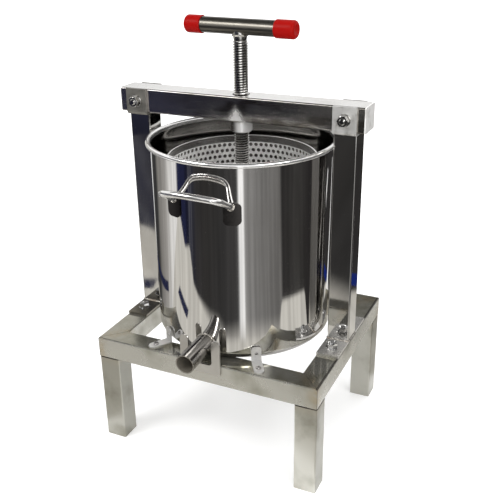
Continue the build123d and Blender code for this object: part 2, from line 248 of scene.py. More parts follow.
def carve(piece: Piece, tool: Piece, operation: str = "DIFFERENCE") -> None:
    """Cuts a piece with a closed tool mesh and removes the tool."""
    apply_modifier(piece, "BOOLEAN", operation=operation, solver="EXACT", object=tool)
    bpy.data.objects.remove(tool)


def drawn_line(name: str, points: Sequence[Point]) -> Piece:
    """A chain of edges in the XZ plane, drawn point by point.

    Args:
        name: the piece's name.
        points: radius and height of each point.

    Returns:
        The new piece, without faces.
    """
    clear_selection()
    bpy.ops.mesh.primitive_plane_add(size=MM)
    piece = new_piece(name)
    with editing(piece):
        bpy.ops.mesh.merge(type="CENTER")
        bpy.ops.transform.translate(value=(points[0][0], 0, points[0][1]))
        for (r0, z0), (r1, z1) in zip(points, points[1:]):
            bpy.ops.mesh.extrude_vertices_move(
                TRANSFORM_OT_translate={"value": (r1 - r0, 0, z1 - z0)})
    return piece


def turned(name: str, outline: Sequence[Point], steps: int) -> Piece:
    """A lathe-turned piece about the Z axis.

    Args:
        name: the piece's name.
        outline: radius and height of the section's points, in order; the section is closed.
        steps: facets round the axis.

    Returns:
        The new piece, with its axis on the origin.
    """
    closed = outline[0][0] <= 0 and outline[-1][0] <= 0
    piece = drawn_line(name, outline if closed else [*outline, outline[0]])
    with editing(piece):
        bpy.ops.mesh.remove_doubles(threshold=MERGE_GAP)
        bpy.ops.mesh.select_all(action="SELECT")
        bpy.ops.mesh.spin(steps=steps, angle=FULL_TURN, center=(0, 0, 0), axis=UP)
    return smooth(finish_mesh(piece))


def wound(name: str, tooth: Sequence[Point], lead: float, turns: int, steps: int) -> Piece:
    """A thread: the section of a tooth, wound up round the Z axis.

    Args:
        name: the piece's name.
        tooth: radius and height of the section's points.
        lead: rise of one turn.
        turns: number of turns.
        steps: facets of one turn.

    Returns:
        The thread.
    """
    piece = drawn_line(name, tooth)
    apply_modifier(
        piece, "SCREW", axis="Z", angle=FULL_TURN, screw_offset=lead, iterations=turns, steps=steps,
        render_steps=steps, use_merge_vertices=True, merge_threshold=THREAD_GAP)
    return smooth(finish_mesh(piece), THREAD_SHARP)


def arc(centre: Point, radius: float, start: float, end: float, steps: int) -> list[Point]:
    """Points along a circular arc, both ends included."""
    turns = [math.radians(start + (end - start) * i / steps) for i in range(steps + 1)]
    return [(centre[0] + radius * math.cos(t), centre[1] + radius * math.sin(t)) for t in turns]


def copied(piece: Piece, name: str, move: Vector) -> Piece:
    """A copy of a piece with its own mesh, moved by a vector.

    Args:
        piece: the piece to copy.
        name: the copy's name.
        move: from the piece to the copy.

    Returns:
        The copy.
    """
    twin = piece.copy()
    twin.data = piece.data.copy()
    bpy.context.scene.collection.objects.link(named(twin, name))
    twin.location = move
    return settle(twin)


def joined(name: str, pieces: Sequence[Piece]) -> Piece:
    """Several meshes as one piece.

    Args:
        name: the joined piece's name.
        pieces: the meshes, the first of which stays.

    Returns:
        The joined piece.
    """
    make_active(pieces[0])
    for piece in pieces:
        piece.select_set(True)
    bpy.ops.object.join()
    return new_piece(name)


# Node helpers


class Value:
    """An output in a node tree, which takes part in plain arithmetic."""

    def __init__(self, bench: "NodeBench", socket: Socket) -> None:
        """Holds an output and the bench that it is on."""
        self.bench = bench
        self.socket = socket

    def __add__(self, other: Self | float) -> Self:
        """The sum."""
        return self.bench.step("ADD", self, other)

    def __sub__(self, other: Self | float) -> Self:
        """The difference."""
        return self.bench.step("SUBTRACT", self, other)

    def __rsub__(self, other: float) -> Self:
        """The difference from a plain number."""
        return self.bench.step("SUBTRACT", other, self)

    def __mul__(self, other: Self | float) -> Self:
        """The product."""
        return self.bench.step("MULTIPLY", self, other)

    def __truediv__(self, other: float) -> Self:
        """The quotient."""
        return self.bench.step("DIVIDE", self, other)

    def __abs__(self) -> Self:
        """The value without its sign."""
        return self.bench.step("ABSOLUTE", self)

    def most(self, other: Self) -> Self:
        """The greater of two values."""
        return self.bench.step("MAXIMUM", self, other)

    def fade(self, low: float, high: Self | float, at_low: float, at_high: float) -> Self:
        """The value carried softly from one range to another, held at the ends."""
        sockets = dict(enumerate((self, low, high, at_low, at_high)))
        return self.bench.value("ShaderNodeMapRange", "Result", sockets, interpolation_type="SMOOTHSTEP")

    def past(self, edge: float, half: float) -> Self:
        """0 below an edge and 1 above it, with a narrow step between."""
        return self.fade(edge - half, edge + half, 0.0, 1.0)

    def between(self, none: float, full: float) -> Self:
        """A share from 0 to 1 as a number between two others."""
        return self.fade(0.0, 1.0, none, full)


Feed = Value | Colour | float


class NodeBench:
    """A node tree with short ways to add what the finishes and the studio need."""

    def __init__(self, tree: bpy.types.NodeTree) -> None:
        """Starts on an emptied tree."""
        self.tree = tree
        tree.nodes.clear()

    def feed(self, socket: Socket, feed: Feed) -> None:
        """Links an input, or sets a plain number or colour on it.

        Args:
            socket: the input.
            feed: what it gets.
        """
        if isinstance(feed, Value):
            self.tree.links.new(feed.socket, socket)
        else:
            socket.default_value = (*feed, 1.0) if socket.type == "RGBA" else feed

    def add(
            self, kind: str, feeds: Mapping[str | int, Feed] | None = None,
            **settings: str) -> bpy.types.Node:
        """Adds a node.

        Args:
            kind: the node's type.
            feeds: what its inputs get, by name or number.
            settings: its properties by name.

        Returns:
            The new node.
        """
        node = self.tree.nodes.new(kind)
        for key, setting in settings.items():
            setattr(node, key, setting)
        for key, feed in (feeds or {}).items():
            self.feed(node.inputs[key], feed)
        return node

    def value(
            self, kind: str, output: str | int, feeds: Mapping[str | int, Feed] | None = None,
            **settings: str) -> Value:
        """One output of a new node."""
        return Value(self, self.add(kind, feeds, **settings).outputs[output])

    def step(self, operation: str, first: Feed, second: Feed = 0.0) -> Value:
        """One step of arithmetic."""
        return self.value("ShaderNodeMath", "Value", {0: first, 1: second}, operation=operation)

    def place(self, scale: Triple = (1, 1, 1), shift: Triple = (0, 0, 0)) -> Value:
        """Object coordinates, stretched and then shifted."""
        here = self.value("ShaderNodeTexCoord", "Object")
        return self.value("ShaderNodeMapping", "Vector", {"Vector": here, "Scale": scale, "Location": shift})

    def noise(self, vector: Value, scale: float, detail: float) -> Value:
        """Fractal noise between 0 and 1."""
        return self.value("ShaderNodeTexNoise", "Fac", {"Vector": vector, "Scale": scale, "Detail": detail})

    def mottle(self, noise: Noise, fade: Fade) -> Value:
        """Even noise of a scale and a detail, carried to another range."""
        return self.noise(self.place(), *noise).fade(*fade)

    def blend(self, factor: Feed, first: Feed, second: Feed) -> Value:
        """A mix of two colours."""
        return self.value("ShaderNodeMix", 2, {0: factor, 6: first, 7: second}, data_type="RGBA")

    def parts(self, vector: Value) -> tuple[Value, ...]:
        """A vector's X, Y and Z."""
        return tuple(Value(self, part) for part in self.add("ShaderNodeSeparateXYZ", {0: vector}).outputs)

    def length(self, vector: Value) -> Value:
        """A vector's length."""
        return self.value("ShaderNodeVectorMath", "Value", {0: vector}, operation="LENGTH")

    def radius(self) -> Value:
        """Distance from the screw's axis."""
        return self.length(self.place((1, 1, 0), FROM_AXIS))

    def facing(self, axis: int) -> Value:
        """1 where a face looks along one axis, counted from 0 for X, and 0 on the faces beside it."""
        return abs(self.parts(self.value("ShaderNodeNewGeometry", "Normal"))[axis]).fade(*FACING_FADE)

    def corner(self) -> Value:
        """1 on rounded edges and 0 on faces that look along an axis."""
        return 1.0 - self.facing(0).most(self.facing(1)).most(self.facing(2))

    def glow(self, colour: Feed, strength: Feed = 1.0) -> Value:
        """Light that a surface gives by itself."""
        return self.value("ShaderNodeEmission", 0, {"Color": colour, "Strength": strength})


class FinishBench(NodeBench):
    """A material's nodes round one principled shader."""

    def __init__(self, name: str) -> None:
        """Starts a material.

        Args:
            name: the material's name.
        """
        self.material = bpy.data.materials.new(name)
        self.material.use_nodes = True
        super().__init__(self.material.node_tree)
        self.output = self.add("ShaderNodeOutputMaterial")
        self.shader = self.add("ShaderNodeBsdfPrincipled")
        self.plain = Value(self, self.shader.outputs["BSDF"])
        self.show(self.plain)

    def show(self, shader: Value) -> None:
        """Makes a shader the material's surface."""
        self.feed(self.output.inputs["Surface"], shader)

    def surface(self, socket: str, feed: Feed) -> None:
        """Feeds one input of the principled shader."""
        self.feed(self.shader.inputs[socket], feed)

    def bump(self, height: Value, distance: float, strength: float) -> None:
        """Relief on the shader's normal."""
        feeds = {"Height": height, "Distance": distance, "Strength": strength}
        self.surface("Normal", self.value("ShaderNodeBump", "Normal", feeds))


# Finishes


@dataclass(frozen=True)
class SteelFinish:
    """Bare stainless steel with grinding marks and duller, handled patches."""

    name: str
    colour: Colour
    dull: Colour
    roughness: float
    patch_roughness: float
    grain: Grain
    grain_roughness: float = 0.05
    grain_depth: float = 0.02
    patch_scale: float = 9.0
    metal: float = 1.0
    mark_detail: float = 5.0
    mark_span: Point = (0.35, 0.7)
    mark_relief: float = 0.3 * MM
    dull_detail: float = 6.0
    dull_fade: Fade = (0.45, 0.75, 0.0, 1.0)

    def material(self) -> bpy.types.Material:
        """The finished material.

        Returns:
            A material whose shader is fed with colour, roughness and relief.
        """
        bench = FinishBench(self.name)
        marks = bench.noise(bench.place(self.grain.value), 1.0, self.mark_detail)
        patches = bench.mottle((self.patch_scale, self.dull_detail), self.dull_fade)
        streaks = marks.fade(*self.mark_span, 0.0, self.grain_roughness)
        bench.surface("Metallic", self.metal)
        bench.surface("Base Color", self.tint(bench, bench.blend(patches, self.colour, self.dull)))
        bench.surface("Roughness", streaks + self.polish(bench) + patches * self.patch_roughness)
        bench.bump(marks, self.mark_relief, self.grain_depth)
        return bench.material

    def polish(self, bench: FinishBench) -> Feed:
        """The roughness before marks and patches."""
        return self.roughness

    def tint(self, bench: FinishBench, colour: Value) -> Value:
        """The colour after stains that belong to one place."""
        return colour


@dataclass(frozen=True)
class RailFinish(SteelFinish):
    """Stand rails: polished on top, satin on the sides, with tinted and seamed mitres, a darker mottled top,
    a dark line along the outer top edge and painted shade on the rounded edges.
    """

    top_roughness: float = 0.07
    outer: float = span("front_rail").x / 2
    top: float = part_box("front_rail")[1].z
    mitre_offset: float = (span("front_rail").x - span("left_rail").y) / 2
    heat: Colour = (0.42, 0.34, 0.22)
    heat_fade: Fade = (2.0 * MM, 26.0 * MM, 1.0, 0.0)
    ripple: Noise = (60.0, 4.0)
    ripple_fade: Fade = (0.3, 0.7, 0.1, 0.6)
    seam: Colour = (0.05, 0.045, 0.04)
    seam_fade: Fade = (0.35 * MM, 0.9 * MM, 0.85, 0.0)
    outer_line_aside: Fade = (3.0 * MM, 3.8 * MM, 0.85, 0.0)
    outer_line_down: Fade = (0.8 * MM, 1.6 * MM, 1.0, 0.0)
    # darker, mottled tone of the top faces, with less of it towards the left end
    darker_top: Colour = (0.24, 0.23, 0.17)
    top_noise: Noise = (28.0, 6.0)
    top_fade: Fade = (0.35, 0.7, 0.15, 0.85)
    top_left_fade: Fade = (-190.0 * MM, -80.0 * MM, 0.45, 1.0)
    # painted shade: the tone that the rounded edges are darkened towards
    edge: Colour = (0.15, 0.145, 0.12)
    edge_shade_share: float = 0.8

    def polish(self, bench: FinishBench) -> Feed:
        """Smoother where the face looks up."""
        return bench.facing(2).between(self.roughness, self.top_roughness)

    def tint(self, bench: FinishBench, colour: Value) -> Value:
        """A straw stain beside each mitre with a dark line along it, a dark line along the outer top edge, a
        darker mottled top and painted shade on the rounded edges.

        Args:
            bench: the material's nodes.
            colour: the plain steel.

        Returns:
            The stained steel.
        """
        x, y, z = bench.parts(bench.place(shift=(0, -AXIS.y, 0)))
        away = abs(abs(x) - abs(y) - self.mitre_offset)
        stain = away.fade(*self.heat_fade) * bench.mottle(self.ripple, self.ripple_fade)
        # a dark line along the outer edge of the top
        groove = (self.outer - x).fade(*self.outer_line_aside) * (self.top - z).fade(*self.outer_line_down)
        line = away.fade(*self.seam_fade).most(groove)
        top_darkening = bench.mottle(self.top_noise, self.top_fade) * x.fade(*self.top_left_fade)
        colour = bench.blend(bench.facing(2) * top_darkening, colour, self.darker_top)
        # painted shade on the rounded edges
        colour = bench.blend(bench.corner() * self.edge_shade_share, colour, self.edge)
        return bench.blend(line, bench.blend(stain, colour, self.heat), self.seam)


@dataclass(frozen=True)
class LegFinish(SteelFinish):
    """Stand legs: satin, with painted shade on their X-facing faces and away from the front right corner,
    and a dark seam and a faint heat stain under the rails.
    """

    seam_height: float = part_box("front_rail")[0].z
    seam: Colour = (0.06, 0.05, 0.045)
    seam_fade: Fade = (0.5 * MM, 1.0 * MM, 1.0, 0.0)
    seam_noise: Noise = (45.0, 2.0)
    seam_breaks: Fade = (0.35, 0.6, 0.35, 0.95)
    heat: Colour = (0.46, 0.41, 0.33)
    heat_fade: Fade = (1.0 * MM, 18.0 * MM, 0.35, 0.0)
    # painted shade: the tone that the legs are darkened towards
    shade: Colour = (0.16, 0.155, 0.125)
    shade_fade: Fade = (100.0 * MM, 300.0 * MM, 0.36, 0.0)
    flank_shade_share: float = 0.45

    def tint(self, bench: FinishBench, colour: Value) -> Value:
        """Painted shade away from the front right corner and on the faces that look along X, with a dark
        line and a faint stain under the rails.

        Args:
            bench: the material's nodes.
            colour: the plain steel.

        Returns:
            The stained steel.
        """
        x, y, z = bench.parts(bench.place())
        below = self.seam_height - z
        # painted shade from the distance to the front right corner and from the faces' direction
        shade = (x - y).fade(*self.shade_fade).most(bench.facing(0) * self.flank_shade_share)
        colour = bench.blend(shade, colour, self.shade)
        line = below.fade(*self.seam_fade) * bench.mottle(self.seam_noise, self.seam_breaks)
        return bench.blend(line, bench.blend(below.fade(*self.heat_fade), colour, self.heat), self.seam)


@dataclass(frozen=True)
class BeamFinish(SteelFinish):
    """Beam: painted light on top and painted shade on its sides and rounded edges, a painted sheen towards
    the left, and a burnished pointed patch above the welded nut that is paler as a painted glint.
    """

    # painted shade: the sides' darker tone, against the top's painted light
    side: Colour = (0.56, 0.535, 0.50)
    side_stain: Colour = (0.26, 0.24, 0.21)
    stain_stretch: Triple = (18.0, 50.0, 50.0)
    stain_detail: float = 6.0
    stain_fade: Fade = (0.42, 0.62, 0.0, 1.0)
    # painted sheen towards the left end
    left_painted_sheen: Colour = (0.86, 0.82, 0.84)
    painted_sheen_fade: Fade = (-150.0 * MM, -50.0 * MM, 0.7, 0.0)
    # painted shade: the tone that the rounded edges are darkened towards
    edge: Colour = (0.10, 0.095, 0.085)
    edge_shade_share: float = 0.8
    patch_foot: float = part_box("crossbeam")[0].z
    patch_rise: float = 30.0 * MM
    patch_half: float = 22.0 * MM
    patch_noise: Noise = (60.0, 4.0)
    patch_ragged: float = 0.8
    patch_fade: Fade = (0.5, 1.75, 1.0, 0.0)
    patch_polish: float = 0.30
    # pale tone of the burnished patch, partly a painted glint
    burnished: Colour = (0.84, 0.83, 0.81)
    burnished_metal: float = 0.5

    def patch(self, bench: FinishBench) -> Value:
        """How strongly a point lies in the burnished patch.

        Args:
            bench: the material's nodes.

        Returns:
            A share from 0 to 1.
        """
        x, _, z = bench.parts(bench.place())
        rise = (z - self.patch_foot) / self.patch_rise
        ragged = bench.noise(bench.place(), *self.patch_noise) * self.patch_ragged
        return (abs(x) / self.patch_half + rise + ragged).fade(*self.patch_fade)

    def polish(self, bench: FinishBench) -> Feed:
        """Duller in the burnished patch."""
        return self.patch(bench).between(self.roughness, self.patch_polish)

    def tint(self, bench: FinishBench, colour: Value) -> Value:
        """Painted shade on the sides and rounded edges, a painted sheen towards the left, and paler in the
        burnished patch, partly as a painted glint.

        Args:
            bench: the material's nodes.
            colour: the top's steel.

        Returns:
            The colour of every side.
        """
        spots = bench.noise(bench.place(self.stain_stretch), 1.0, self.stain_detail)
        stains = spots.fade(*self.stain_fade)
        # painted sheen towards the left end
        sheen = bench.parts(bench.place())[0].fade(*self.painted_sheen_fade)
        side = bench.blend(sheen, bench.blend(stains, self.side, self.side_stain), self.left_painted_sheen)
        # painted light on top, painted shade on the sides and rounded edges
        shaded = bench.blend(bench.facing(2), side, colour)
        shaded = bench.blend(bench.corner() * self.edge_shade_share, shaded, self.edge)
        patch = self.patch(bench)
        bench.surface("Metallic", patch.between(1.0, self.burnished_metal))
        return bench.blend(patch, shaded, self.burnished)


@dataclass(frozen=True)
class PotFinish(SteelFinish):
    """Pot: mirror-polished outside, with painted shade and a duller finish on the inside of its wall and
    floor, and a painted highlight along the rim's bead.
    """

    skin: float = 150.6 * MM
    skin_half: float = 0.2 * MM
    # painted shade: the inside's darker tone
    inside: Colour = (0.30, 0.29, 0.275)
    inside_roughness: float = 0.07
    rim_foot: float = 526.5 * MM
    rim_half: float = 0.3 * MM
    # painted highlight: the rim bead's pale tone, with less metal
    rim: Colour = (0.86, 0.85, 0.84)
    rim_metal: float = 0.86

    def outside(self, bench: FinishBench) -> Value:
        """1 outside the middle of the wall's sheet and 0 inside it."""
        return bench.radius().past(self.skin, self.skin_half)

    def polish(self, bench: FinishBench) -> Feed:
        """Duller on the inside."""
        return self.outside(bench).between(self.inside_roughness, self.roughness)

    def tint(self, bench: FinishBench, colour: Value) -> Value:
        """Painted shade on the inside and a painted highlight along the rim's bead.

        Args:
            bench: the material's nodes.
            colour: the polished outside.

        Returns:
            The colour of wall and rim.
        """
        bead = bench.parts(bench.place())[2].past(self.rim_foot, self.rim_half)
        bench.surface("Metallic", bead.between(1.0, self.rim_metal))
        # painted highlight on the bead, painted shade on the inside
        return bench.blend(bead, bench.blend(self.outside(bench), self.inside, colour), self.rim)


@dataclass(frozen=True)
class BasketFinish(SteelFinish):
    """Basket wall: polished on its plain top band and duller where it is punched, with painted light on the
    punched part and painted shade on the band.
    """

    band_foot: float = 491.5 * MM
    band_half: float = 1.0 * MM
    band_roughness: float = 0.14
    # painted light: the punched part's pale tone, with less metal
    punched: Colour = (0.96, 0.955, 0.94)
    punched_metal: float = 0.25

    def band(self, bench: FinishBench) -> Value:
        """1 on the plain band and 0 on the punched part."""
        return bench.parts(bench.place())[2].past(self.band_foot, self.band_half)

    def polish(self, bench: FinishBench) -> Feed:
        """Smoother on the band."""
        return self.band(bench).between(self.roughness, self.band_roughness)

    def tint(self, bench: FinishBench, colour: Value) -> Value:
        """Painted light below the band and painted shade on the band: two tones of one sheet."""
        bench.surface("Metallic", self.band(bench).between(self.punched_metal, 1.0))
        # painted light on the punched part, painted shade on the band
        return bench.blend(self.band(bench), self.punched, colour)


@dataclass(frozen=True)
class ScrewFinish(SteelFinish):
    """Screw: bright on the thread's crests and darker in its valleys."""

    valley_dark: Colour = (0.14, 0.13, 0.12)
    valley_dark_fade: Fade = (10.2 * MM, 11.6 * MM, 0.8, 0.0)

    def tint(self, bench: FinishBench, colour: Value) -> Value:
        """Darker towards the axis."""
        return bench.blend(bench.radius().fade(*self.valley_dark_fade), colour, self.valley_dark)


@dataclass(frozen=True)
class SpoutFinish(SteelFinish):
    """Spout: brushed along its length outside, duller and browner in its bore."""

    skin: float = 15.25 * MM
    skin_half: float = 0.3 * MM
    bore: Colour = (0.22, 0.20, 0.165)
    bore_metal: float = 0.35

    def tint(self, bench: FinishBench, colour: Value) -> Value:
        """Browner and duller inside the tube.

        Args:
            bench: the material's nodes.
            colour: the colour outside.

        Returns:
            The colour of both sides of the wall.
        """
        x, y, z = bench.parts(bench.place(shift=tuple(-middle("spout"))))
        rise = z - y * math.tan(math.radians(SPOUT_TILT))
        outside = bench.step("SQRT", x * x + rise * rise).past(self.skin, self.skin_half)
        bench.surface("Metallic", outside.between(self.bore_metal, 1.0))
        return bench.blend(outside, self.bore, colour)


@dataclass(frozen=True)
class ShadedSideFinish(SteelFinish):
    """Steel with painted shade: its tone changes from one side of the screw's axis to the other."""

    # painted shade: the darker tone on one side
    other: Colour = (0.2, 0.2, 0.2)
    heading: float = 0.0
    start: float = -10.0 * MM
    end: float = 10.0 * MM

    def tint(self, bench: FinishBench, colour: Value) -> Value:
        """Painted shade: the other colour up to the start, this one beyond the end.

        Args:
            bench: the material's nodes.
            colour: the colour beyond the end.

        Returns:
            The colour of both sides.
        """
        x, y, _ = bench.parts(bench.place(shift=FROM_AXIS))
        way = math.radians(self.heading)
        side = (x * math.cos(way) + y * math.sin(way)).fade(self.start, self.end, 1.0, 0.0)
        return bench.blend(side, colour, self.other)


@dataclass(frozen=True)
class VinylFinish:
    """Soft dipped vinyl with a waxy sheen and fine scuffs."""

    name: str
    colour: Colour
    scuffed: Colour
    roughness: float
    scuff_stretch: Triple = (30.0, 90.0, 90.0)
    scuff_noise: Noise = (3.0, 6.0)
    scuff_fade: Fade = (0.55, 0.8, 0.0, 0.5)
    scuff_roughness: float = 0.3
    sheen: float = 0.06
    pores: Noise = (900.0, 3.0)
    pore_relief: float = 0.15 * MM
    pore_depth: float = 0.12

    def material(self) -> bpy.types.Material:
        """The finished material.

        Returns:
            A red, slightly uneven plastic.
        """
        bench = FinishBench(self.name)
        scuffs = bench.noise(bench.place(self.scuff_stretch), *self.scuff_noise).fade(*self.scuff_fade)
        bench.surface("Base Color", bench.blend(scuffs, self.colour, self.scuffed))
        bench.surface("Roughness", scuffs * self.scuff_roughness + self.roughness)
        bench.surface("Specular IOR Level", self.sheen)
        bench.bump(bench.noise(bench.place(), *self.pores), self.pore_relief, self.pore_depth)
        return bench.material


Finish = SteelFinish | VinylFinish

STAND_RAIL = RailFinish(
    "stand_rail_steel", (0.51, 0.50, 0.455), (0.31, 0.30, 0.245), 0.25, 0.10, Grain.SOFT,
    0.04, 0.012, 14.0, 0.85)
STAND_LEG = LegFinish(
    "stand_leg_steel", (0.56, 0.55, 0.50), (0.32, 0.31, 0.26), 0.28, 0.10, Grain.SOFT, 0.10, 0.05, 16.0)
POST_STEEL = SteelFinish(
    "post_steel", (0.64, 0.63, 0.61), (0.55, 0.53, 0.50), 0.045, 0.05, Grain.ALONG_Z, 0.03, 0.012)
BEAM_STEEL = BeamFinish(
    "beam_steel", (0.80, 0.79, 0.77), (0.66, 0.64, 0.61), 0.16, 0.08, Grain.ALONG_X, 0.03, 0.008)
SATIN_PLATE = SteelFinish(
    "satin_plate_steel", (0.62, 0.605, 0.58), (0.52, 0.50, 0.46), 0.26, 0.10, Grain.EVEN, 0.06, 0.03)
BASE_PLATE = replace(
    SATIN_PLATE, name="base_plate_steel", colour=(0.70, 0.69, 0.67), roughness=0.18, metal=0.85)
# painted shade: the left base plate as a darker copy of the right one
SHADED_LEFT_BASE = replace(
    BASE_PLATE, name="shaded_left_base_plate_steel", colour=(0.21, 0.195, 0.16), dull=(0.10, 0.09, 0.07),
    roughness=0.12)
SADDLE_STEEL = SteelFinish(
    "saddle_steel", (0.66, 0.65, 0.63), (0.26, 0.25, 0.235), 0.34, 0.10, Grain.SOFT, 0.06, 0.04, 55.0, 0.7)
# painted shade: the left saddle as a darker copy of the right one
SHADED_LEFT_SADDLE = replace(
    SADDLE_STEEL, name="shaded_left_saddle_steel", colour=(0.25, 0.24, 0.215), dull=(0.14, 0.13, 0.11))
END_STEEL = SteelFinish(
    "end_plate_steel", (0.92, 0.91, 0.89), (0.62, 0.60, 0.57), 0.38, 0.10, Grain.SOFT, 0.06, 0.04, 45.0, 0.4)
CLIP_STEEL = replace(END_STEEL, name="clip_steel", colour=(0.56, 0.555, 0.545), metal=0.75)
POT_STEEL = PotFinish(
    "pot_steel", (0.70, 0.69, 0.675), (0.62, 0.60, 0.58), 0.035, 0.05, Grain.AROUND_Z, 0.03, 0.010, 6.0)
# the dark colour is painted shade on the basket's plain band
BASKET_STEEL = BasketFinish(
    "basket_steel", (0.24, 0.235, 0.23), (0.20, 0.19, 0.18), 0.34, 0.06, Grain.AROUND_Z, 0.05, 0.02)
SPOUT_STEEL = SpoutFinish(
    "spout_steel", (0.26, 0.248, 0.232), (0.19, 0.178, 0.16), 0.16, 0.10, Grain.ALONG_Y, 0.08, 0.03)
BAR_STEEL = SteelFinish(
    "bar_steel", (0.16, 0.15, 0.13), (0.13, 0.12, 0.105), 0.28, 0.06, Grain.ALONG_X, 0.03, 0.008)
# dark pads, with painted shade on the left pad
PAD_STEEL = ShadedSideFinish(
    "dark_pad_steel_painted_shade", (0.060, 0.056, 0.054), (0.075, 0.070, 0.066), 0.30, 0.10, Grain.EVEN,
    0.05, 0.03, other=(0.018, 0.016, 0.016))
# turned nut with painted shade on its left side, as the camera sees it
NUT_STEEL = ShadedSideFinish(
    "turned_nut_steel_painted_shade", (0.92, 0.91, 0.90), (0.70, 0.68, 0.66), 0.20, 0.06, Grain.AROUND_Z,
    0.06, 0.03, 40.0, 0.5, other=(0.07, 0.065, 0.06), heading=VIEW_TURN, start=-15.0 * MM, end=-4.0 * MM)
ROD_STEEL = SteelFinish(
    "rod_steel", (0.84, 0.83, 0.82), (0.72, 0.70, 0.68), 0.08, 0.06, Grain.EVEN, 0.03, 0.01, 9.0, 0.90)
HOOP_STEEL = replace(ROD_STEEL, name="hoop_steel", colour=(0.88, 0.87, 0.86), roughness=0.16, metal=0.5)
SCREW_STEEL = ScrewFinish(
    "screw_steel", (0.80, 0.79, 0.77), (0.66, 0.64, 0.61), 0.15, 0.06, Grain.AROUND_Z, 0.05, 0.02, 30.0)
WELD_STEEL = SteelFinish(
    "weld_steel", (0.58, 0.55, 0.50), (0.36, 0.30, 0.24), 0.24, 0.20, Grain.EVEN, 0.08, 0.10, 70.0)
BRIGHT_STEEL = SteelFinish(
    "bright_plated_steel", (0.74, 0.74, 0.74), (0.62, 0.61, 0.60), 0.07, 0.08, Grain.EVEN, 0.04, 0.02, 40.0)
BOLT_STEEL = SteelFinish(
    "bolt_steel", (0.50, 0.49, 0.475), (0.36, 0.35, 0.33), 0.10, 0.08, Grain.EVEN, 0.04, 0.02, 40.0)
RED_VINYL = VinylFinish("red_vinyl", (0.30, 0.003, 0.002), (0.33, 0.008, 0.005), 0.34)


@cache
def material_of(finish: Finish) -> bpy.types.Material:
    """The finish's material, made on first use."""
    return finish.material()


def dress(piece: Piece, finish: Finish) -> None:
    """Gives a new piece or a CAD node one finish all over."""
    piece.data.materials.clear()
    piece.data.materials.append(material_of(finish))


def dress_nodes(finish: Finish, *nodes: str) -> None:
    """Gives CAD nodes a finish and reports them.

    Args:
        finish: the finish to use.
        nodes: the nodes' names.
    """
    for node in nodes:
        dress(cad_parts[node], finish)
        log.info("node %s: %s", node, finish.name)


def add(piece: Piece, body: Body, slot: Slot, finish: Finish, *nodes: str) -> None:
    """Dresses a finished piece, puts it on its body and reports it.

    Args:
        piece: the piece, in place.
        body: the body that it rides on.
        slot: the record's material slot; not used.
        finish: its finish.
        nodes: CAD nodes that it stands for.
    """
    dress(piece, finish)
    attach(piece, body.value)
    if nodes:
        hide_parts(*nodes)
    log.info("piece %s: %d faces, %s", piece.name, len(piece.data.polygons), finish.name)


# Welds


@dataclass
class Welder:
    """Lays small uneven weld beads."""

    ripple: float = 0.5 * MM
    ripple_size: float = 3.0 * MM
    segments: int = 72
    sides: int = 10
    flatness: float = 0.8
    corner_segments: int = 4
    side_cuts: int = 6
    bevel_steps: int = 2
    sharp: float = 60.0

    def roughen(self, bead: Piece) -> Piece:
        """Makes a bead's surface uneven.

        Args:
            bead: the smooth bead, in place.

        Returns:
            The same bead.
        """
        texture = bpy.data.textures.get("bead_ripple") or bpy.data.textures.new("bead_ripple", "CLOUDS")
        texture.noise_scale = self.ripple_size
        apply_modifier(
            bead, "DISPLACE", texture=texture, strength=self.ripple, mid_level=0.5, texture_coords="LOCAL")
        return smooth(bead, self.sharp)

    def ring(self, name: str, place: Vector, along: Triple | Vector, radius: float, size: float) -> Piece:
        """A bead round a tube.

        Args:
            name: the bead's name.
            place: the ring's centre.
            along: the tube's direction.
            radius: from the centre to the middle of the bead.
            size: the bead's half width.

        Returns:
            The bead.
        """
        clear_selection()
        bpy.ops.mesh.primitive_torus_add(
            major_segments=self.segments, minor_segments=self.sides, major_radius=radius, minor_radius=size)
        bead = new_piece(name)
        with editing(bead):
            bpy.ops.transform.resize(value=(1, 1, self.flatness), center_override=(0, 0, 0))
        return self.roughen(put(bead, place, along))

    def square(self, name: str, place: Vector, side: float, corner: float, size: float) -> Piece:
        """A bead round the foot of a square tube.

        Args:
            name: the bead's name.
            place: the square's centre.
            side: the tube's width.
            corner: the tube's corner radius.
            size: the bead's half width.

        Returns:
            The bead.
        """
        clear_selection()
        bpy.ops.mesh.primitive_plane_add(size=side)
        bead = new_piece(name)
        with editing(bead):
            bpy.ops.mesh.bevel(offset=corner, segments=self.corner_segments, affect="VERTICES")
            bpy.ops.mesh.select_all(action="SELECT")
            bpy.ops.mesh.delete(type="ONLY_FACE")
            bpy.ops.mesh.select_all(action="SELECT")
            bpy.ops.mesh.subdivide(number_cuts=self.side_cuts)
        make_active(bead)
        bpy.ops.object.convert(target="CURVE")
        bead.data.bevel_depth = size
        bead.data.bevel_resolution = self.bevel_steps
        bpy.ops.object.convert(target="MESH")
        return self.roughen(put(finish_mesh(bead), place))


WELDER = Welder()


# Sub-assemblies


@dataclass
class Stand:
    """Four rails and four legs of square tube."""

    rails: tuple[str, ...] = ("front_rail", "back_rail", "left_rail", "right_rail")
    legs: tuple[str, ...] = ("front_left_leg", "front_right_leg", "back_left_leg", "back_right_leg")

    def build(self) -> None:
        """Dresses the tubes."""
        dress_nodes(STAND_RAIL, *self.rails)
        dress_nodes(STAND_LEG, *self.legs, "leg_end_plates")


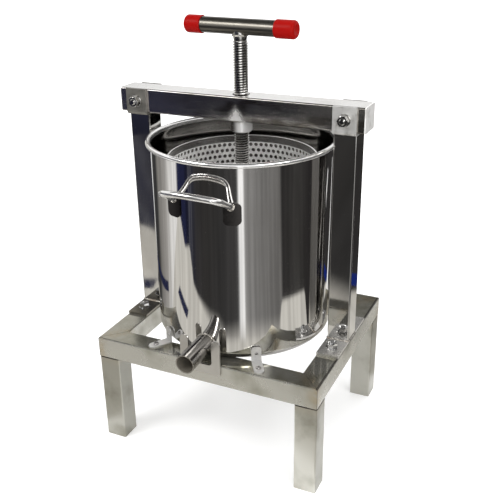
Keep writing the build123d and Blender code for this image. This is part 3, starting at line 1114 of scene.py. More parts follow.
@dataclass
class Bridge:
    """Posts, saddles, beam and screw nut."""

    bead: float = 1.7 * MM
    nut_bead: float = 1.8 * MM
    tube_corner: float = 2.5 * MM

    def build(self) -> None:
        """Dresses the tubes and lays their welds."""
        dress_nodes(POST_STEEL, "left_post", "right_post")
        dress_nodes(BEAM_STEEL, "crossbeam")
        dress_nodes(SHADED_LEFT_BASE, "left_base_plate")
        dress_nodes(BASE_PLATE, "right_base_plate")
        dress_nodes(SATIN_PLATE, "left_beam_end_plate")
        dress_nodes(SHADED_LEFT_SADDLE, "left_saddle")
        dress_nodes(SADDLE_STEEL, "right_saddle")
        dress_nodes(END_STEEL, "right_beam_end_plate")
        dress_nodes(NUT_STEEL, "screw_nut")
        self.lay_welds()

    def lay_welds(self) -> None:
        """Beads at the posts' feet and round the nut."""
        for post in ("left_post", "right_post"):
            place = middle(post)
            place.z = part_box(post)[0].z
            bead = WELDER.square(f"{post}_weld", place, span(post).x, self.tube_corner, self.bead)
            add(bead, Body.FRAME, Slot.SATIN, WELD_STEEL)
        under = on_axis(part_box("crossbeam")[0].z - self.nut_bead / 2)
        bead = WELDER.ring("screw_nut_weld", under, UP, span("screw_nut").x / 2, self.nut_bead / 2)
        add(bead, Body.FRAME, Slot.SATIN, WELD_STEEL)


@dataclass
class Pot:
    """Polished pot with its rolled rim, spout and handles."""

    wall: float = 1.2 * MM
    corner: float = 15.0 * MM
    corner_steps: int = 12
    bead: float = 4.0 * MM
    bead_steps: int = 20
    wall_rows: tuple[float, ...] = (46.0 * MM, 52.0 * MM, 200.0 * MM)
    steps: int = 224
    spout_radius: float = 16.0 * MM
    spout_bead: float = 1.5 * MM
    spout_bead_gap: float = 0.4 * MM
    drill_length: float = 60.0 * MM
    drill_sides: int = 48
    handle_rise: float = 28.0
    handle_rod: float = 5.0 * MM
    handle_half: float = 49.0 * MM
    handle_bead: float = 1.3 * MM
    handle_bead_gap: float = 0.5 * MM
    pad: float = 2.0 * MM
    foot_over_pad: float = 11.0 * MM

    @property
    def outer(self) -> float:
        """Outer radius of the wall, inside the rim's bead."""
        low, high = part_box("pot")
        return (high.x - low.x) / 2 - 2 * self.bead + self.wall

    def outline(self) -> list[Point]:
        """Section of the pot from the axis, round the outside and back on the inside.

        Returns:
            Radius and height of each point.
        """
        low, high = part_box("pot")
        outer = self.outer
        inner = outer - self.wall
        bend = (outer - self.corner, low.z + self.corner)
        rim = (inner + self.bead, high.z - self.bead)
        start = math.degrees(math.acos((outer - rim[0]) / self.bead))
        heights = [low.z + row for row in self.wall_rows]
        return [
            (0.0, low.z), *arc(bend, self.corner, 270, 360, self.corner_steps),
            *((outer, height) for height in heights),
            *arc(rim, self.bead, 360 - start, 540, self.bead_steps),
            *((inner, height) for height in reversed(heights)),
            *arc(bend, self.corner - self.wall, 360, 270, self.corner_steps), (0.0, low.z + self.wall)]

    def spout_line(self) -> tuple[Vector, Vector]:
        """Where the spout leaves the wall, and its direction.

        Returns:
            The point on the spout's axis at the pot's wall, and a unit vector along the axis.
        """
        tilt = math.radians(SPOUT_TILT)
        along = Vector((0, -math.cos(tilt), -math.sin(tilt)))
        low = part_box("spout")[0]
        radius = self.spout_radius
        end = Vector((AXIS.x, low.y + radius * math.sin(tilt), low.z + radius * math.cos(tilt)))
        wall = AXIS.y - self.outer
        return end + along * ((end.y - wall) / math.cos(tilt)), along

    def build(self) -> None:
        """Turns the pot, cuts the spout's hole and dresses what is welded to it."""
        body = put(turned("pot_body", self.outline(), self.steps), on_axis(0))
        root, along = self.spout_line()
        clear_selection()
        bpy.ops.mesh.primitive_cylinder_add(
            vertices=self.drill_sides, radius=self.spout_radius, depth=self.drill_length)
        carve(body, put(new_piece("spout_drill"), root, along))
        add(smooth(body), Body.FRAME, Slot.POLISHED, POT_STEEL, "pot")
        dress_nodes(SPOUT_STEEL, "spout")
        dress_nodes(ROD_STEEL, "front_handle", "back_handle")
        dress_nodes(PAD_STEEL, "front_handle_pads", "back_handle_pads")
        ring = self.spout_radius + self.spout_bead_gap
        bead = WELDER.ring("spout_weld", root, along, ring, self.spout_bead)
        add(bead, Body.FRAME, Slot.SATIN, WELD_STEEL)
        self.weld_handles()

    def weld_handles(self) -> None:
        """Beads where the handle rods meet their pads."""
        rise = math.radians(self.handle_rise)
        reach = math.sqrt((self.outer + self.pad) ** 2 - self.handle_half ** 2)
        root = math.sqrt(self.outer ** 2 - self.handle_half ** 2)
        foot = middle("front_handle_pads").z + self.foot_over_pad
        height = foot + (reach - root) * math.tan(rise)
        ring = self.handle_rod + self.handle_bead_gap
        for name, face in (("front", -1), ("back", 1)):
            along = (0, face * math.cos(rise), math.sin(rise))
            for hand, side in (("left", -1), ("right", 1)):
                place = Vector((side * self.handle_half, AXIS.y + face * reach, height))
                bead = WELDER.ring(f"{name}_{hand}_handle_weld", place, along, ring, self.handle_bead)
                add(bead, Body.FRAME, Slot.POLISHED, WELD_STEEL)


@dataclass
class Basket:
    """Perforated basket with a wire hoop and a drilled floor."""

    hole: float = 3.4 * MM
    per_row: int = 80
    rows: int = 27
    row_pitch: float = 10.3 * MM
    first_row: float = 16.5 * MM
    wall: float = 1.2 * MM
    merge_gap: float = 0.01 * MM
    edge_gap: float = 0.05 * MM
    sharp: float = 50.0

    @property
    def radius(self) -> float:
        """Outer radius of the wall."""
        return span("basket_wall").x / 2

    @property
    def pitch(self) -> float:
        """From one hole to the next in a row."""
        return FULL_TURN * self.radius / self.per_row

    def cell(self) -> Piece:
        """One flat cell of the sheet with its hole.

        Returns:
            A ring of faces between a round hole and the cell's straight border.
        """
        x, y = self.pitch / 2, self.row_pitch / 2
        border = [
            (x, 0), (x, y), (x / 2, y), (0, y), (-x / 2, y), (-x, y),
            (-x, 0), (-x, -y), (-x / 2, -y), (0, -y), (x / 2, -y), (x, -y)]
        clear_selection()
        bpy.ops.mesh.primitive_circle_add(vertices=len(border), radius=self.hole)
        cell = new_piece("perforated_wall")
        with editing(cell):
            bpy.ops.mesh.extrude_region_move()
        for vertex in cell.data.vertices:
            if vertex.select:
                turn = math.atan2(vertex.co.y, vertex.co.x) % FULL_TURN
                vertex.co = (*border[round(turn / FULL_TURN * len(border)) % len(border)], 0)
        return cell

    def sheet(self) -> Piece:
        """The flat perforated sheet with its plain bands.

        Returns:
            The sheet, its first row on the X axis, its rows running down.
        """
        sheet = self.cell()
        for count, move in (
                (self.per_row, (self.pitch, 0, 0)), (self.rows, (self.pitch / 2, -self.row_pitch, 0))):
            apply_modifier(
                sheet, "ARRAY", count=count, use_relative_offset=False, use_constant_offset=True,
                constant_offset_displace=move, use_merge_vertices=True, merge_threshold=self.merge_gap)
        low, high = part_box("basket_wall")
        punched = (self.rows - 0.5) * self.row_pitch
        self.extend(sheet, self.row_pitch / 2, self.first_row - self.row_pitch / 2)
        self.extend(sheet, -punched, -((high.z - low.z) - self.first_row - punched))
        return sheet

    def extend(self, sheet: Piece, edge: float, distance: float) -> None:
        """Extrudes one straight border of the sheet.

        Args:
            sheet: the flat sheet.
            edge: height of the border.
            distance: how far it is drawn out, downwards if negative.
        """
        with editing(sheet):
            bpy.ops.mesh.select_all(action="DESELECT")
        for vertex in sheet.data.vertices:
            vertex.select = abs(vertex.co.y - edge) < self.edge_gap
        with editing(sheet, everything=False):
            bpy.ops.mesh.extrude_region_move(TRANSFORM_OT_translate={"value": (0, distance, 0)})

    def rolled(self, sheet: Piece) -> Piece:
        """Rolls the sheet to a tube and gives it its thickness.

        Args:
            sheet: the flat sheet.

        Returns:
            The same piece as a perforated tube.
        """
        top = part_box("basket_wall")[1].z - self.first_row
        radius = self.radius
        for vertex in sheet.data.vertices:
            turn = vertex.co.x / radius
            x, y = AXIS.x + radius * math.sin(turn), AXIS.y - radius * math.cos(turn)
            vertex.co = (x, y, top + vertex.co.y)
        apply_modifier(finish_mesh(sheet), "SOLIDIFY", thickness=self.wall, offset=-1.0)
        return smooth(sheet, self.sharp)

    def build(self) -> None:
        """Makes the perforated wall and dresses the rest."""
        add(self.rolled(self.sheet()), Body.FRAME, Slot.POLISHED, BASKET_STEEL, "basket_wall")
        dress_nodes(HOOP_STEEL, "basket_hoop")
        dress_nodes(BASKET_STEEL, "basket_floor")


@dataclass
class Drive:
    """Threaded screw, turning bar with its caps, plate and hub."""

    lead: float = 4.0 * MM
    crest: float = 12.0 * MM
    root: float = 9.3 * MM
    tooth: tuple[float, ...] = (0.16, 0.38, 0.78)
    groove: float = 9.5 * MM
    groove_middle: float = 18.0 * MM
    groove_half: float = 4.0 * MM
    foot: float = 30.0 * MM
    foot_edge: float = 1.0 * MM
    run_in: float = 0.5 * MM
    overlap: float = 1.5 * MM
    neck: float = 11.0 * MM
    neck_length: float = 4.0 * MM
    neck_bead: float = 1.9 * MM
    neck_bead_drop: float = 0.6 * MM
    thread_steps: int = 28
    steps: int = 48
    cap_steps: int = 64
    left_cap: float = 30.0 * MM
    right_cap: float = 34.0 * MM
    cap_gap: float = 0.05 * MM
    cap_wall: float = 1.6 * MM
    cap_end: float = 1.95 * MM
    cap_round: float = 5.0 * MM
    cap_round_steps: int = 8
    cap_dimple: float = 0.8 * MM
    dimple_floor: float = 0.45
    dimple_edge: float = 0.6
    cap_waist: float = 0.3
    lip_section: tuple[Point, ...] = ((0.1 * MM, 2.5 * MM), (0.0, 1.2 * MM), (0.6 * MM, 0.2 * MM))

    def thread(self, low: float, turns: int) -> Piece:
        """The screw's thread.

        Args:
            low: height of its foot.
            turns: number of turns.

        Returns:
            The thread, with its axis on the origin.
        """
        up, over, down = (low + share * self.lead for share in self.tooth)
        return wound("thread", [
            (self.root, low), (self.root, up), (self.crest, over), (self.crest, down),
            (self.root, low + self.lead)], self.lead, turns, self.thread_steps)

    def screw(self) -> None:
        """Foot, thread and neck as one piece."""
        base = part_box("press_screw")[0].z
        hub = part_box("plate_hub")[0].z
        groove_low = hub + self.groove_middle - self.groove_half
        groove_high = hub + self.groove_middle + self.groove_half
        low = hub + self.foot
        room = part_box("turning_bar")[0].z - self.neck_length - low
        turns = int(room / self.lead) - 1
        top = low + turns * self.lead
        foot = turned("screw_foot", [
            (0.0, base), (self.crest - self.foot_edge, base), (self.crest, base + self.foot_edge),
            (self.crest, groove_low), (self.groove, groove_low), (self.groove, groove_high),
            (self.crest, groove_high), (self.crest, low - self.run_in), (self.root, low + self.overlap),
            (0.0, low + self.overlap)], self.steps)
        bar = middle("turning_bar").z - self.neck_length
        neck = turned("screw_neck", [
            (0.0, top - MM), (self.root, top - MM), (self.neck, top + 2 * self.lead), (self.neck, bar),
            (0.0, bar)], self.steps)
        piece = put(joined("threaded_screw", [self.thread(low, turns), foot, neck]), on_axis(0))
        add(piece, Body.SCREW, Slot.POLISHED, SCREW_STEEL, "press_screw")

    def neck_weld(self) -> None:
        """Bead between the neck and the turning bar."""
        under = on_axis(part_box("turning_bar")[0].z - self.neck_bead_drop)
        bead = WELDER.ring("bar_weld", under, UP, self.neck, self.neck_bead)
        add(bead, Body.SCREW, Slot.SATIN, WELD_STEEL)

    def cap(self, node: str, length: float, along: Vector) -> None:
        """A dipped cap with a soft rounded end and a lip.

        Args:
            node: the CAD cap that it stands for.
            length: from its lip to its closed end.
            along: unit vector from the screw to its closed end.
        """
        inside = span("turning_bar").z / 2 + self.cap_gap
        outside = span(node).z / 2
        body = inside + self.cap_wall
        deep = length - self.cap_end
        dimple = length - self.cap_dimple
        bend = (body - self.cap_round, length - self.cap_round)
        lip = [(outside - drop, height) for drop, height in self.lip_section]
        cap = turned(f"{node}_vinyl", [
            (0.0, dimple), (outside * self.dimple_floor, dimple), (outside * self.dimple_edge, length),
            *arc(bend, self.cap_round, 90, 0, self.cap_round_steps), (body, length * self.cap_waist), *lip,
            (inside, 0.0), (inside, deep), (0.0, deep)], self.cap_steps)
        put(cap, middle(node) - along * (length / 2), along)
        add(cap, Body.SCREW, Slot.VINYL, RED_VINYL, node)

    def build(self) -> None:
        """Makes the screw and the caps and dresses the rest."""
        self.screw()
        self.neck_weld()
        along = (middle("right_grip_cap") - middle("left_grip_cap")).normalized()
        self.cap("left_grip_cap", self.left_cap, -along)
        self.cap("right_grip_cap", self.right_cap, along)
        dress_nodes(BAR_STEEL, "turning_bar")
        dress_nodes(SATIN_PLATE, "press_plate", "plate_hub")
        dress_nodes(BRIGHT_STEEL, "hub_set_screws")


@dataclass
class Locators:
    """Fork and clips that hold the pot on the rails."""

    turns: tuple[float, ...] = (32.0, -32.0, 148.0, 212.0)
    reach: float = 179.0 * MM
    head: float = 4.5 * MM
    rise: float = 3.0 * MM
    edge: float = 1.4 * MM
    edge_steps: int = 6
    recess: float = 1.1 * MM
    recess_ease: float = 0.25 * MM
    recess_turns: tuple[float, ...] = (45.0, 135.0)
    slot_long: float = 4.6 * MM
    steps: int = 40

    def screw(self) -> Piece:
        """A pan-head screw's head with a cross recess.

        Returns:
            The head, standing on the origin.
        """
        dome = arc((self.head - self.edge, self.rise - self.edge), self.edge, 0, 90, self.edge_steps)
        head = turned("clip_screw", [(0.0, 0.0), (self.head, 0.0), *dome, (0.0, self.rise)], self.steps)
        for turn in self.recess_turns:
            clear_selection()
            bpy.ops.mesh.primitive_cube_add(size=1.0)
            slot = new_piece("slot")
            slot.scale = (self.slot_long, self.recess, 2 * self.recess)
            slot.location = (0, 0, self.rise)
            slot.rotation_euler = (0, 0, math.radians(turn))
            with editing(settle(slot)):
                bpy.ops.mesh.bevel(offset=self.recess_ease, segments=1)
            carve(head, slot)
        return smooth(finish_mesh(head))

    def build(self) -> None:
        """Dresses the fork and the clips and sets the screws."""
        dress_nodes(SATIN_PLATE, "spout_fork")
        dress_nodes(CLIP_STEEL, "pot_clips")
        seat = on_axis(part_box("clip_screws")[1].z - self.rise)
        model = self.screw()
        for number, turn in enumerate(map(math.radians, self.turns), 1):
            spot = seat + Vector((self.reach * math.sin(turn), -self.reach * math.cos(turn), 0))
            piece = copied(model, f"clip_screw_{number}", spot)
            add(piece, Body.FRAME, Slot.BRIGHT, BOLT_STEEL, "clip_screws")
        bpy.data.objects.remove(model)


@dataclass
class Fasteners:
    """Hexagon bolts, nuts and washers at the posts' feet and heads."""

    across: float = 182.0 * MM
    deep: float = 48.0 * MM
    flats: float = 16.0 * MM
    face_share: float = 0.96
    cone_slope: float = 30.0
    cone_share: float = 1.9
    nut_height: float = 8.4 * MM
    head_height: float = 6.4 * MM
    thread: float = 5.0 * MM
    thread_depth: float = 0.9 * MM
    thread_turns: int = 4
    thread_steps: int = 24
    thread_room: float = 0.8 * MM
    crest_drop: float = 0.1 * MM
    crest_share: float = 0.6
    shank_drop: float = 0.05 * MM
    tip: float = 0.6 * MM
    bore: float = 5.1 * MM
    sink: float = 0.7 * MM
    pitch: float = 1.5 * MM
    washer: float = 10.0 * MM
    washer_thick: float = 2.0 * MM
    chamfer: float = 0.3 * MM
    steps: int = 48
    washer_steps: int = 56
    shank_steps: int = 32
    sharp: float = 20.0

    def hexagon(self, name: str, height: float, rounded_foot: bool) -> Piece:
        """A hexagon with its corners turned off in a cone.

        Args:
            name: the piece's name.
            height: from its foot on the origin to its top.
            rounded_foot: whether the foot's corners are turned off too.

        Returns:
            The hexagon.
        """
        corner = self.flats / math.sqrt(3)
        face = self.flats / 2 * self.face_share
        drop = (corner - face) * math.tan(math.radians(self.cone_slope)) * self.cone_share
        wide = corner + MM
        block = turned(name, [(0.0, 0.0), (corner, 0.0), (corner, height), (0.0, height)], 6)
        foot = [(0.0, 0.0), (face, 0.0), (wide, drop)] if rounded_foot else [(0.0, -MM), (wide, -MM)]
        barrel = turned("barrel", [*foot, (wide, height - drop), (face, height), (0.0, height)], self.steps)
        carve(block, barrel, "INTERSECT")
        return smooth(finish_mesh(block), self.sharp)

    def nut(self) -> Piece:
        """A nut with a countersunk bore.

        Returns:
            The nut, standing on the origin.
        """
        nut = self.hexagon("nut", self.nut_height, True)
        bore, high, sink = self.bore, self.nut_height, self.sink
        wide = bore + sink
        plug = turned("plug", [
            (0.0, -MM), (wide, -MM), (wide, 0.0), (bore, sink), (bore, high - sink), (wide, high),
            (wide, high + MM), (0.0, high + MM)], self.steps)
        carve(nut, plug)
        return smooth(finish_mesh(nut), self.sharp)

    def washer_ring(self) -> Piece:
        """A washer with eased edges.

        Returns:
            The washer, lying on the origin.
        """
        inner, outer, high, ease = self.bore, self.washer, self.washer_thick, self.chamfer
        return turned("washer", [
            (inner, ease), (inner + ease, 0.0), (outer - ease, 0.0), (outer, ease), (outer, high - ease),
            (outer - ease, high), (inner + ease, high), (inner, high - ease)], self.washer_steps)

    def bolt(self, grip: float) -> Piece:
        """A bolt with its head below the origin and a threaded tail.

        Args:
            grip: from under its head to its tip.

        Returns:
            The bolt.
        """
        head = self.hexagon("bolt", self.head_height, False)
        head.rotation_euler = (math.pi, 0, 0)
        settle(head)
        start = grip - (self.thread_turns + 1) * self.pitch - self.thread_room
        core = self.thread - self.thread_depth
        shank = self.thread - self.shank_drop
        body = turned("shank", [
            (0.0, -MM), (shank, -MM), (shank, start), (core, start + MM), (core, grip - self.tip),
            (core - self.tip, grip), (0.0, grip)], self.shank_steps)
        crest = (self.thread - self.crest_drop, start + self.crest_share * self.pitch)
        tooth = [(core, start), crest, (core, start + self.pitch)]
        tail = wound("tail_thread", tooth, self.pitch, self.thread_turns, self.thread_steps)
        return joined("bolt", [head, body, tail])

    def row(
            self, model: Piece, node: str, spots: Sequence[Vector], finish: SteelFinish,
            along: Triple = UP) -> None:
        """Sets copies of one fastener and removes the model.

        Args:
            model: the fastener, standing on the origin.
            node: the CAD node that they stand for; the copies are numbered from 1.
            spots: where the copies stand.
            finish: what they are made of.
            along: where their Z axis points.
        """
        name = node.removesuffix("s")
        for number, spot in enumerate(spots, 1):
            piece = copied(model, f"{name}_{number}", Vector((0, 0, 0)))
            add(put(piece, spot, along), Body.FRAME, Slot.BRIGHT, finish, node)
        bpy.data.objects.remove(model)

    def build(self) -> None:
        """Sets the bolts of the posts' feet and of the beam."""
        self.fasten_feet()
        self.fasten_beam()

    def fasten_feet(self) -> None:
        """Bolts, washers and nuts through the base plates."""
        feet = [(x, AXIS.y + y) for x in (-self.across, self.across) for y in (-self.deep, self.deep)]
        low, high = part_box("base_bolts")
        seat = low.z + self.head_height
        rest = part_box("base_washers")[0].z
        for model, node, height in (
                (self.bolt(high.z - seat), "base_bolts", seat),
                (self.washer_ring(), "base_washers", rest),
                (self.nut(), "base_nuts", rest + self.washer_thick)):
            self.row(model, node, [Vector((*foot, height)) for foot in feet], BRIGHT_STEEL)

    def fasten_beam(self) -> None:
        """Bolts, washers and nuts through the saddles, with their nuts in front."""
        low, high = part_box("saddle_bolts")
        level = middle("saddle_bolts").z
        back = high.y - self.head_height
        near, far = (corner.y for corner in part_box("saddle_washers"))
        for model, node, depths in (
                (self.bolt(back - low.y), "saddle_bolts", (back,)),
                (self.washer_ring(), "saddle_washers", (near + self.washer_thick, far)),
                (self.nut(), "saddle_nuts", (near,))):
            spots = [Vector((x, y, level)) for x in (-self.across, self.across) for y in depths]
            self.row(model, node, spots, BOLT_STEEL, FRONT)


# Studio


def grey(level: float) -> Colour:
    """A tone without a hue."""
    return (level, level, level)


NAVY = (0.020, 0.024, 0.065)
PALE = (0.54, 0.53, 0.49)
DIM = (0.24, 0.235, 0.225)
EARTH = (0.04, 0.038, 0.032)
COAL = (0.04, 0.038, 0.036)


@dataclass(frozen=True)
class HangingBand:
    """A band of tones round the press, mirrored by its upper parts.

    Angles are in degrees from the camera's side, anticlockwise from above.
    """

    name: str
    low: float
    high: float
    behind: Tones
    glint: tuple[float, float, float, float]

    @property
    def tones(self) -> Tones:
        """The tones all round, with a white field between the glint's angles.

        Returns:
            Angles and their tones.
        """
        rise, full, fall, gone = self.glint
        return (
            *self.behind, (-118, PALE), (-100, DIM), (-88, (0.020, 0.022, 0.045)),
            (-50, (0.022, 0.023, 0.032)), (rise, (0.03, 0.029, 0.028)), (full, grey(1.0)),
            (fall, grey(1.0)), (gone, (0.05, 0.048, 0.046)),
            (90, COAL), (142, COAL), (152, DIM), (180, DIM))


@dataclass
class Studio:
    """Pale floor, white surround, soft lamps, reflected floor fields and the camera.

    Angles are in degrees from the camera's side, and floor places are from the screw's axis.
    """

    eye: Triple = (0.5267, -1.1038, 0.8650)
    target: Triple = (0.0050, 0.0, 0.3316)
    lens: float = 55.2
    sensor: float = 36.0
    shift: float = 0.0072
    roll: float = -0.9
    view_end: float = 100.0
    surround_light: float = 0.55
    floor_size: float = 40.0
    floor_tone: Colour = grey(0.86)
    floor_roughness: float = 0.9
    floor_lift: Fade = (0.5, 2.5, 0.34, 1.0)
    ring_sides: int = 180
    ring_near: float = 0.30
    ring_far: float = 8.0
    ring_height: float = 2.0 * MM
    stripe_height: float = 4.0 * MM
    bare: Colour = (0.70, 0.68, 0.63)
    tones: Tones = (
        (-180, grey(0.90)), (-148, grey(0.90)), (-145, grey(0.04)), (-131, grey(0.05)),
        (-126, (0.24, 0.23, 0.215)), (-108, (0.40, 0.385, 0.365)), (-96, (0.95, 0.94, 0.92)),
        (-86, (0.95, 0.94, 0.93)), (-83, NAVY), (-73, (0.020, 0.023, 0.060)), (-69, (0.014, 0.015, 0.030)),
        (-67.5, (0.028, 0.030, 0.052)), (-65.6, (0.12, 0.12, 0.135)), (-64.6, (0.026, 0.028, 0.052)),
        (-63.0, (0.10, 0.10, 0.115)), (-62.2, (0.030, 0.031, 0.045)), (-57, (0.042, 0.040, 0.042)),
        (-46, (0.040, 0.038, 0.037)), (-25, (0.042, 0.041, 0.041)), (-10, (0.065, 0.063, 0.063)),
        (-6.0, grey(0.09)), (-4.8, grey(1.2)), (0.3, grey(1.2)), (1.6, (0.33, 0.325, 0.32)),
        (14, (0.25, 0.245, 0.24)), (43.5, (0.18, 0.175, 0.17)), (46, (0.035, 0.033, 0.033)),
        (66, (0.055, 0.053, 0.051)), (84, (0.030, 0.028, 0.028)), (150, (0.035, 0.033, 0.033)),
        (180, grey(0.06)))
    near_edges: tuple[Point, ...] = (
        (-180, 0.50), (-100, 0.50), (-90, 1.00), (-84, 1.26), (-80, 1.24), (-74, 1.00), (-67, 1.02),
        (-62, 0.78), (-54, 0.70), (-40, 0.58), (-22, 0.47), (-6, 0.50), (40, 0.50), (44, 0.70), (77, 0.71),
        (80, 0.45), (112, 0.45), (120, 0.64), (134, 0.66), (140, 0.50), (180, 0.50))
    near_blurs: tuple[Point, ...] = (
        (-180, 0.04), (-56, 0.04), (-30, 0.17), (40, 0.17), (43, 0.04), (180, 0.04))
    streak_stretch: Point = (90.0, 0.8)
    streak_detail: float = 4.0
    streak_fade: Fade = (0.3, 0.7, 0.84, 1.16)
    stripes: tuple[tuple[Point, Point, float, Colour], ...] = (
        ((-0.69, 0.42), (-0.69, -0.10), 0.06, NAVY),
        ((-0.63, -0.36), (-0.44, -0.43), 0.055, NAVY),
        ((0.30, 0.615), (0.46, 0.615), 0.07, (0.012, 0.025, 0.18)),
        ((0.60, 0.35), (0.72, 1.45), 0.05, grey(1.1)),
        ((0.265, 0.50), (0.25, 1.70), 0.05, grey(1.1)))
    band_reach: float = 0.60
    band_stretch: Triple = (4.0, 4.0, 8.0)
    band_detail: float = 3.0
    band_fade: Fade = (0.3, 0.7, 0.7, 1.3)
    bands: tuple[HangingBand, ...] = (
        HangingBand(
            "low_band", 0.40, 0.52, ((-180, EARTH), (-153.2, EARTH), (-151.6, PALE)), (-10, -4, 22, 32)),
        HangingBand(
            "high_band", 0.52, 0.67,
            ((-180, DIM), (-164, DIM), (-160, EARTH), (-152.2, EARTH), (-150.6, PALE)), (-30, -20, 16, 28)))
    flag_sides: int = 90
    flag_height: float = 1.9
    flag_reach: float = 1.5
    flag_tone: Colour = grey(0.03)
    lamp_aim: float = 0.35
    lamps: tuple[tuple[str, Triple, float, float], ...] = (
        ("key_lamp", (-1.6, -2.0, 2.6), 1.6, 60.0),
        ("fill_lamp", (2.4, -1.2, 1.8), 1.8, 30.0),
        ("top_lamp", (0.2, 0.8, 3.0), 2.0, 40.0),
        ("front_lamp", (0.95, -2.0, 0.55), 0.35, 10.0))

    def build(self) -> None:
        """Sets up everything round the press."""
        bpy.context.scene.view_settings.view_transform = "Standard"
        self.world()
        self.floor()
        self.floor_ring()
        for number, stripe in enumerate(self.stripes, 1):
            self.floor_stripe(f"floor_stripe_{number}", *stripe)
        for band in self.bands:
            self.hang(band)
        self.overhead_flag()
        for lamp in self.lamps:
            self.lamp(*lamp)
        self.camera()

    def world(self) -> None:
        """White to the eye and to reflections, softer as a light."""
        world = bpy.data.worlds.new("studio")
        bpy.context.scene.world = world
        world.use_nodes = True
        bench = NodeBench(world.node_tree)
        seen = bench.value("ShaderNodeLightPath", "Is Camera Ray")
        for kind in ("Is Glossy Ray", "Is Transmission Ray"):
            seen = seen.most(bench.value("ShaderNodeLightPath", kind))
        back = bench.value("ShaderNodeBackground", 0, {
            "Color": grey(1.0), "Strength": seen.between(self.surround_light, 1.0)})
        bench.add("ShaderNodeOutputWorld", {"Surface": back})

    def floor(self) -> None:
        """A pale floor that shows white and keeps the press's shadow."""
        clear_selection()
        bpy.ops.mesh.primitive_plane_add(size=self.floor_size)
        floor = new_piece("studio_floor")
        bench = FinishBench("pale_floor")
        bench.surface("Base Color", self.floor_tone)
        bench.surface("Roughness", self.floor_roughness)
        bench.surface("Specular IOR Level", 0.0)
        seen = bench.value("ShaderNodeLightPath", "Is Camera Ray").most(
            bench.value("ShaderNodeLightPath", "Is Glossy Ray"))
        glow = bench.glow(grey(1.0), seen * bench.length(bench.place()).fade(*self.floor_lift))
        bench.show(bench.value("ShaderNodeAddShader", 0, {0: bench.plain, 1: glow}))
        floor.data.materials.append(bench.material)

    def glossy_only(self, piece: Piece, bench: FinishBench, shader: Value) -> None:
        """Puts a piece on the stage for reflections alone.

        Args:
            piece: the stage piece.
            bench: its material's nodes.
            shader: what it shows.
        """
        bench.show(shader)
        piece.data.materials.append(bench.material)
        piece.visible_camera = False
        piece.visible_diffuse = False
        piece.visible_shadow = False
        piece.visible_transmission = False

    def turn(self, bench: NodeBench) -> Value:
        """The angle about the screw.

        Args:
            bench: the material's nodes.

        Returns:
            The angle as a share of a full turn, 0.5 on the camera's side.
        """
        x, y, _ = bench.parts(bench.place(shift=FROM_AXIS))
        angle = bench.step("ARCTAN2", x, y * -1.0) - math.radians(VIEW_TURN)
        return bench.step("FRACT", angle / FULL_TURN + 1.5)

    def tones_round(self, bench: NodeBench, turn: Value, stops: Sequence[tuple[float, Colour]]) -> Value:
        """A colour for each angle from the camera's side.

        Args:
            bench: the material's nodes.
            turn: the angle as a share of a full turn, 0.5 on the camera's side.
            stops: angles in degrees and their colours.

        Returns:
            The colour.
        """
        node = bench.add("ShaderNodeValToRGB", {"Fac": turn})
        places = [angle / 360 + 0.5 for angle, _ in stops]
        elements = node.color_ramp.elements
        elements[0].position, elements[1].position = places[0], places[-1]
        for place in places[1:-1]:
            elements.new(place)
        for element, (_, colour) in zip(elements, stops):
            element.color = (*colour, 1)
        return Value(bench, node.outputs["Color"])

    def floor_ring(self) -> None:
        """The room that the polished walls mirror: a ring of tones on the floor."""
        centre = on_axis(self.ring_height)
        clear_selection()
        bpy.ops.mesh.primitive_circle_add(vertices=self.ring_sides, radius=self.ring_near, location=centre)
        ring = settle(new_piece("floor_ring"))
        with editing(ring):
            bpy.ops.mesh.extrude_region_move()
            grow = self.ring_far / self.ring_near
            bpy.ops.transform.resize(value=(grow, grow, 1), center_override=centre)
        bench = FinishBench("floor_tones")
        turn = self.turn(bench)
        tone = self.tones_round(bench, turn, self.tones)
        edge, blur = (
            self.tones_round(bench, turn, [(angle, grey(reach)) for angle, reach in stops])
            for stops in (self.near_edges, self.near_blurs))
        out = bench.radius()
        mixed = bench.blend((out - edge).fade(0.0, blur, 0.0, 1.0), self.bare, tone)
        across, outwards = self.streak_stretch
        streaks = bench.value("ShaderNodeCombineXYZ", "Vector", {"X": turn * across, "Y": out * outwards})
        uneven = bench.noise(streaks, 1.0, self.streak_detail).fade(*self.streak_fade)
        self.glossy_only(ring, bench, bench.glow(mixed, uneven))

    def floor_stripe(self, name: str, start: Point, end: Point, width: float, colour: Colour) -> None:
        """A straight mark on the floor that the polished walls mirror.

        Args:
            name: the stripe's name.
            start: one end, from the screw's axis.
            end: the other end.
            width: across the stripe.
            colour: its tone.
        """
        first, last = Vector((*start, 0)), Vector((*end, 0))
        clear_selection()
        bpy.ops.mesh.primitive_plane_add(size=1.0)
        stripe = new_piece(name)
        stripe.scale = ((last - first).length, width, 1)
        stripe.rotation_euler = (0, 0, math.atan2(last.y - first.y, last.x - first.x))
        stripe.location = (first + last) / 2 + on_axis(self.stripe_height)
        bench = FinishBench(name)
        self.glossy_only(settle(stripe), bench, bench.glow(colour))

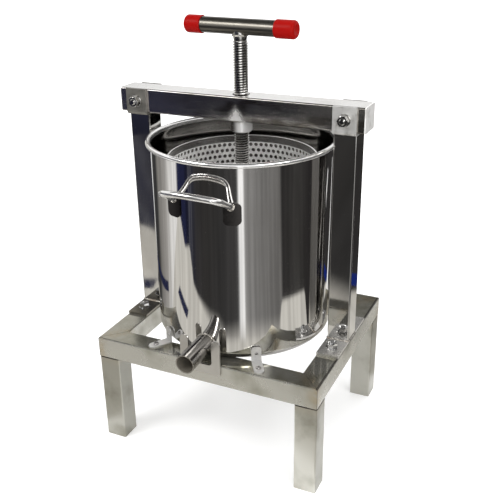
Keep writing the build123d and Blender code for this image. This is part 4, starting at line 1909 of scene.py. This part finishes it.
    def hang(self, band: HangingBand) -> None:
        """Hangs a band of tones round the press.

        Args:
            band: its name, heights and tones.
        """
        clear_selection()
        bpy.ops.mesh.primitive_circle_add(
            vertices=self.ring_sides, radius=self.band_reach, location=on_axis(band.low))
        piece = settle(new_piece(band.name))
        with editing(piece):
            bpy.ops.mesh.extrude_region_move(TRANSFORM_OT_translate={"value": (0, 0, band.high - band.low)})
        bench = FinishBench(f"{band.name}_tones")
        clouds = bench.noise(bench.place(self.band_stretch), 1.0, self.band_detail)
        tones = self.tones_round(bench, self.turn(bench), band.tones)
        self.glossy_only(piece, bench, bench.glow(tones, clouds.fade(*self.band_fade)))

    def overhead_flag(self) -> None:
        """A dark sheet high over the press, mirrored by rounded tops and edges."""
        clear_selection()
        bpy.ops.mesh.primitive_circle_add(
            vertices=self.flag_sides, radius=self.flag_reach, fill_type="NGON",
            location=on_axis(self.flag_height))
        flag = settle(new_piece("overhead_flag"))
        bench = FinishBench("flag_tone")
        self.glossy_only(flag, bench, bench.glow(self.flag_tone))

    def lamp(self, name: str, place: Triple, size: float, power: float) -> None:
        """A soft square lamp aimed at the press.

        Args:
            name: its name.
            place: where it hangs.
            size: its width.
            power: its watts.
        """
        data = bpy.data.lights.new(name, "AREA")
        data.size = size
        data.energy = power
        lamp = bpy.data.objects.new(name, data)
        bpy.context.scene.collection.objects.link(lamp)
        lamp.location = place
        aim = on_axis(self.lamp_aim) - Vector(place)
        lamp.rotation_euler = aim.to_track_quat("-Z", "Y").to_euler()

    def camera(self) -> None:
        """The camera at the photograph's viewing angle."""
        data = bpy.data.cameras.new("studio_camera")
        data.sensor_width = self.sensor
        data.lens = self.lens
        data.shift_x = self.shift
        data.clip_end = self.view_end
        camera = bpy.data.objects.new("studio_camera", data)
        bpy.context.scene.collection.objects.link(camera)
        offset = Vector((0, AXIS.y, 0))
        back = (Vector(self.eye) - Vector(self.target)).normalized()
        right = Vector(UP).cross(back).normalized()
        up = back.cross(right)
        turn = math.radians(self.roll)
        tilted = right * math.cos(turn) + up * math.sin(turn)
        rising = up * math.cos(turn) - right * math.sin(turn)
        camera.matrix_world = Matrix.Translation(Vector(self.eye) + offset) @ Matrix(
            (tilted, rising, back)).transposed().to_4x4()
        bpy.context.scene.camera = camera


def main() -> None:
    """Builds the press's pieces and the studio."""
    logging.basicConfig(level=logging.INFO, format="%(name)s: %(message)s")
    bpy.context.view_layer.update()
    for unit in (Stand(), Bridge(), Pot(), Basket(), Drive(), Locators(), Fasteners()):
        unit.build()
        log.info("%s done", type(unit).__name__)
    Studio().build()


if __name__ == "__main__":
    main()
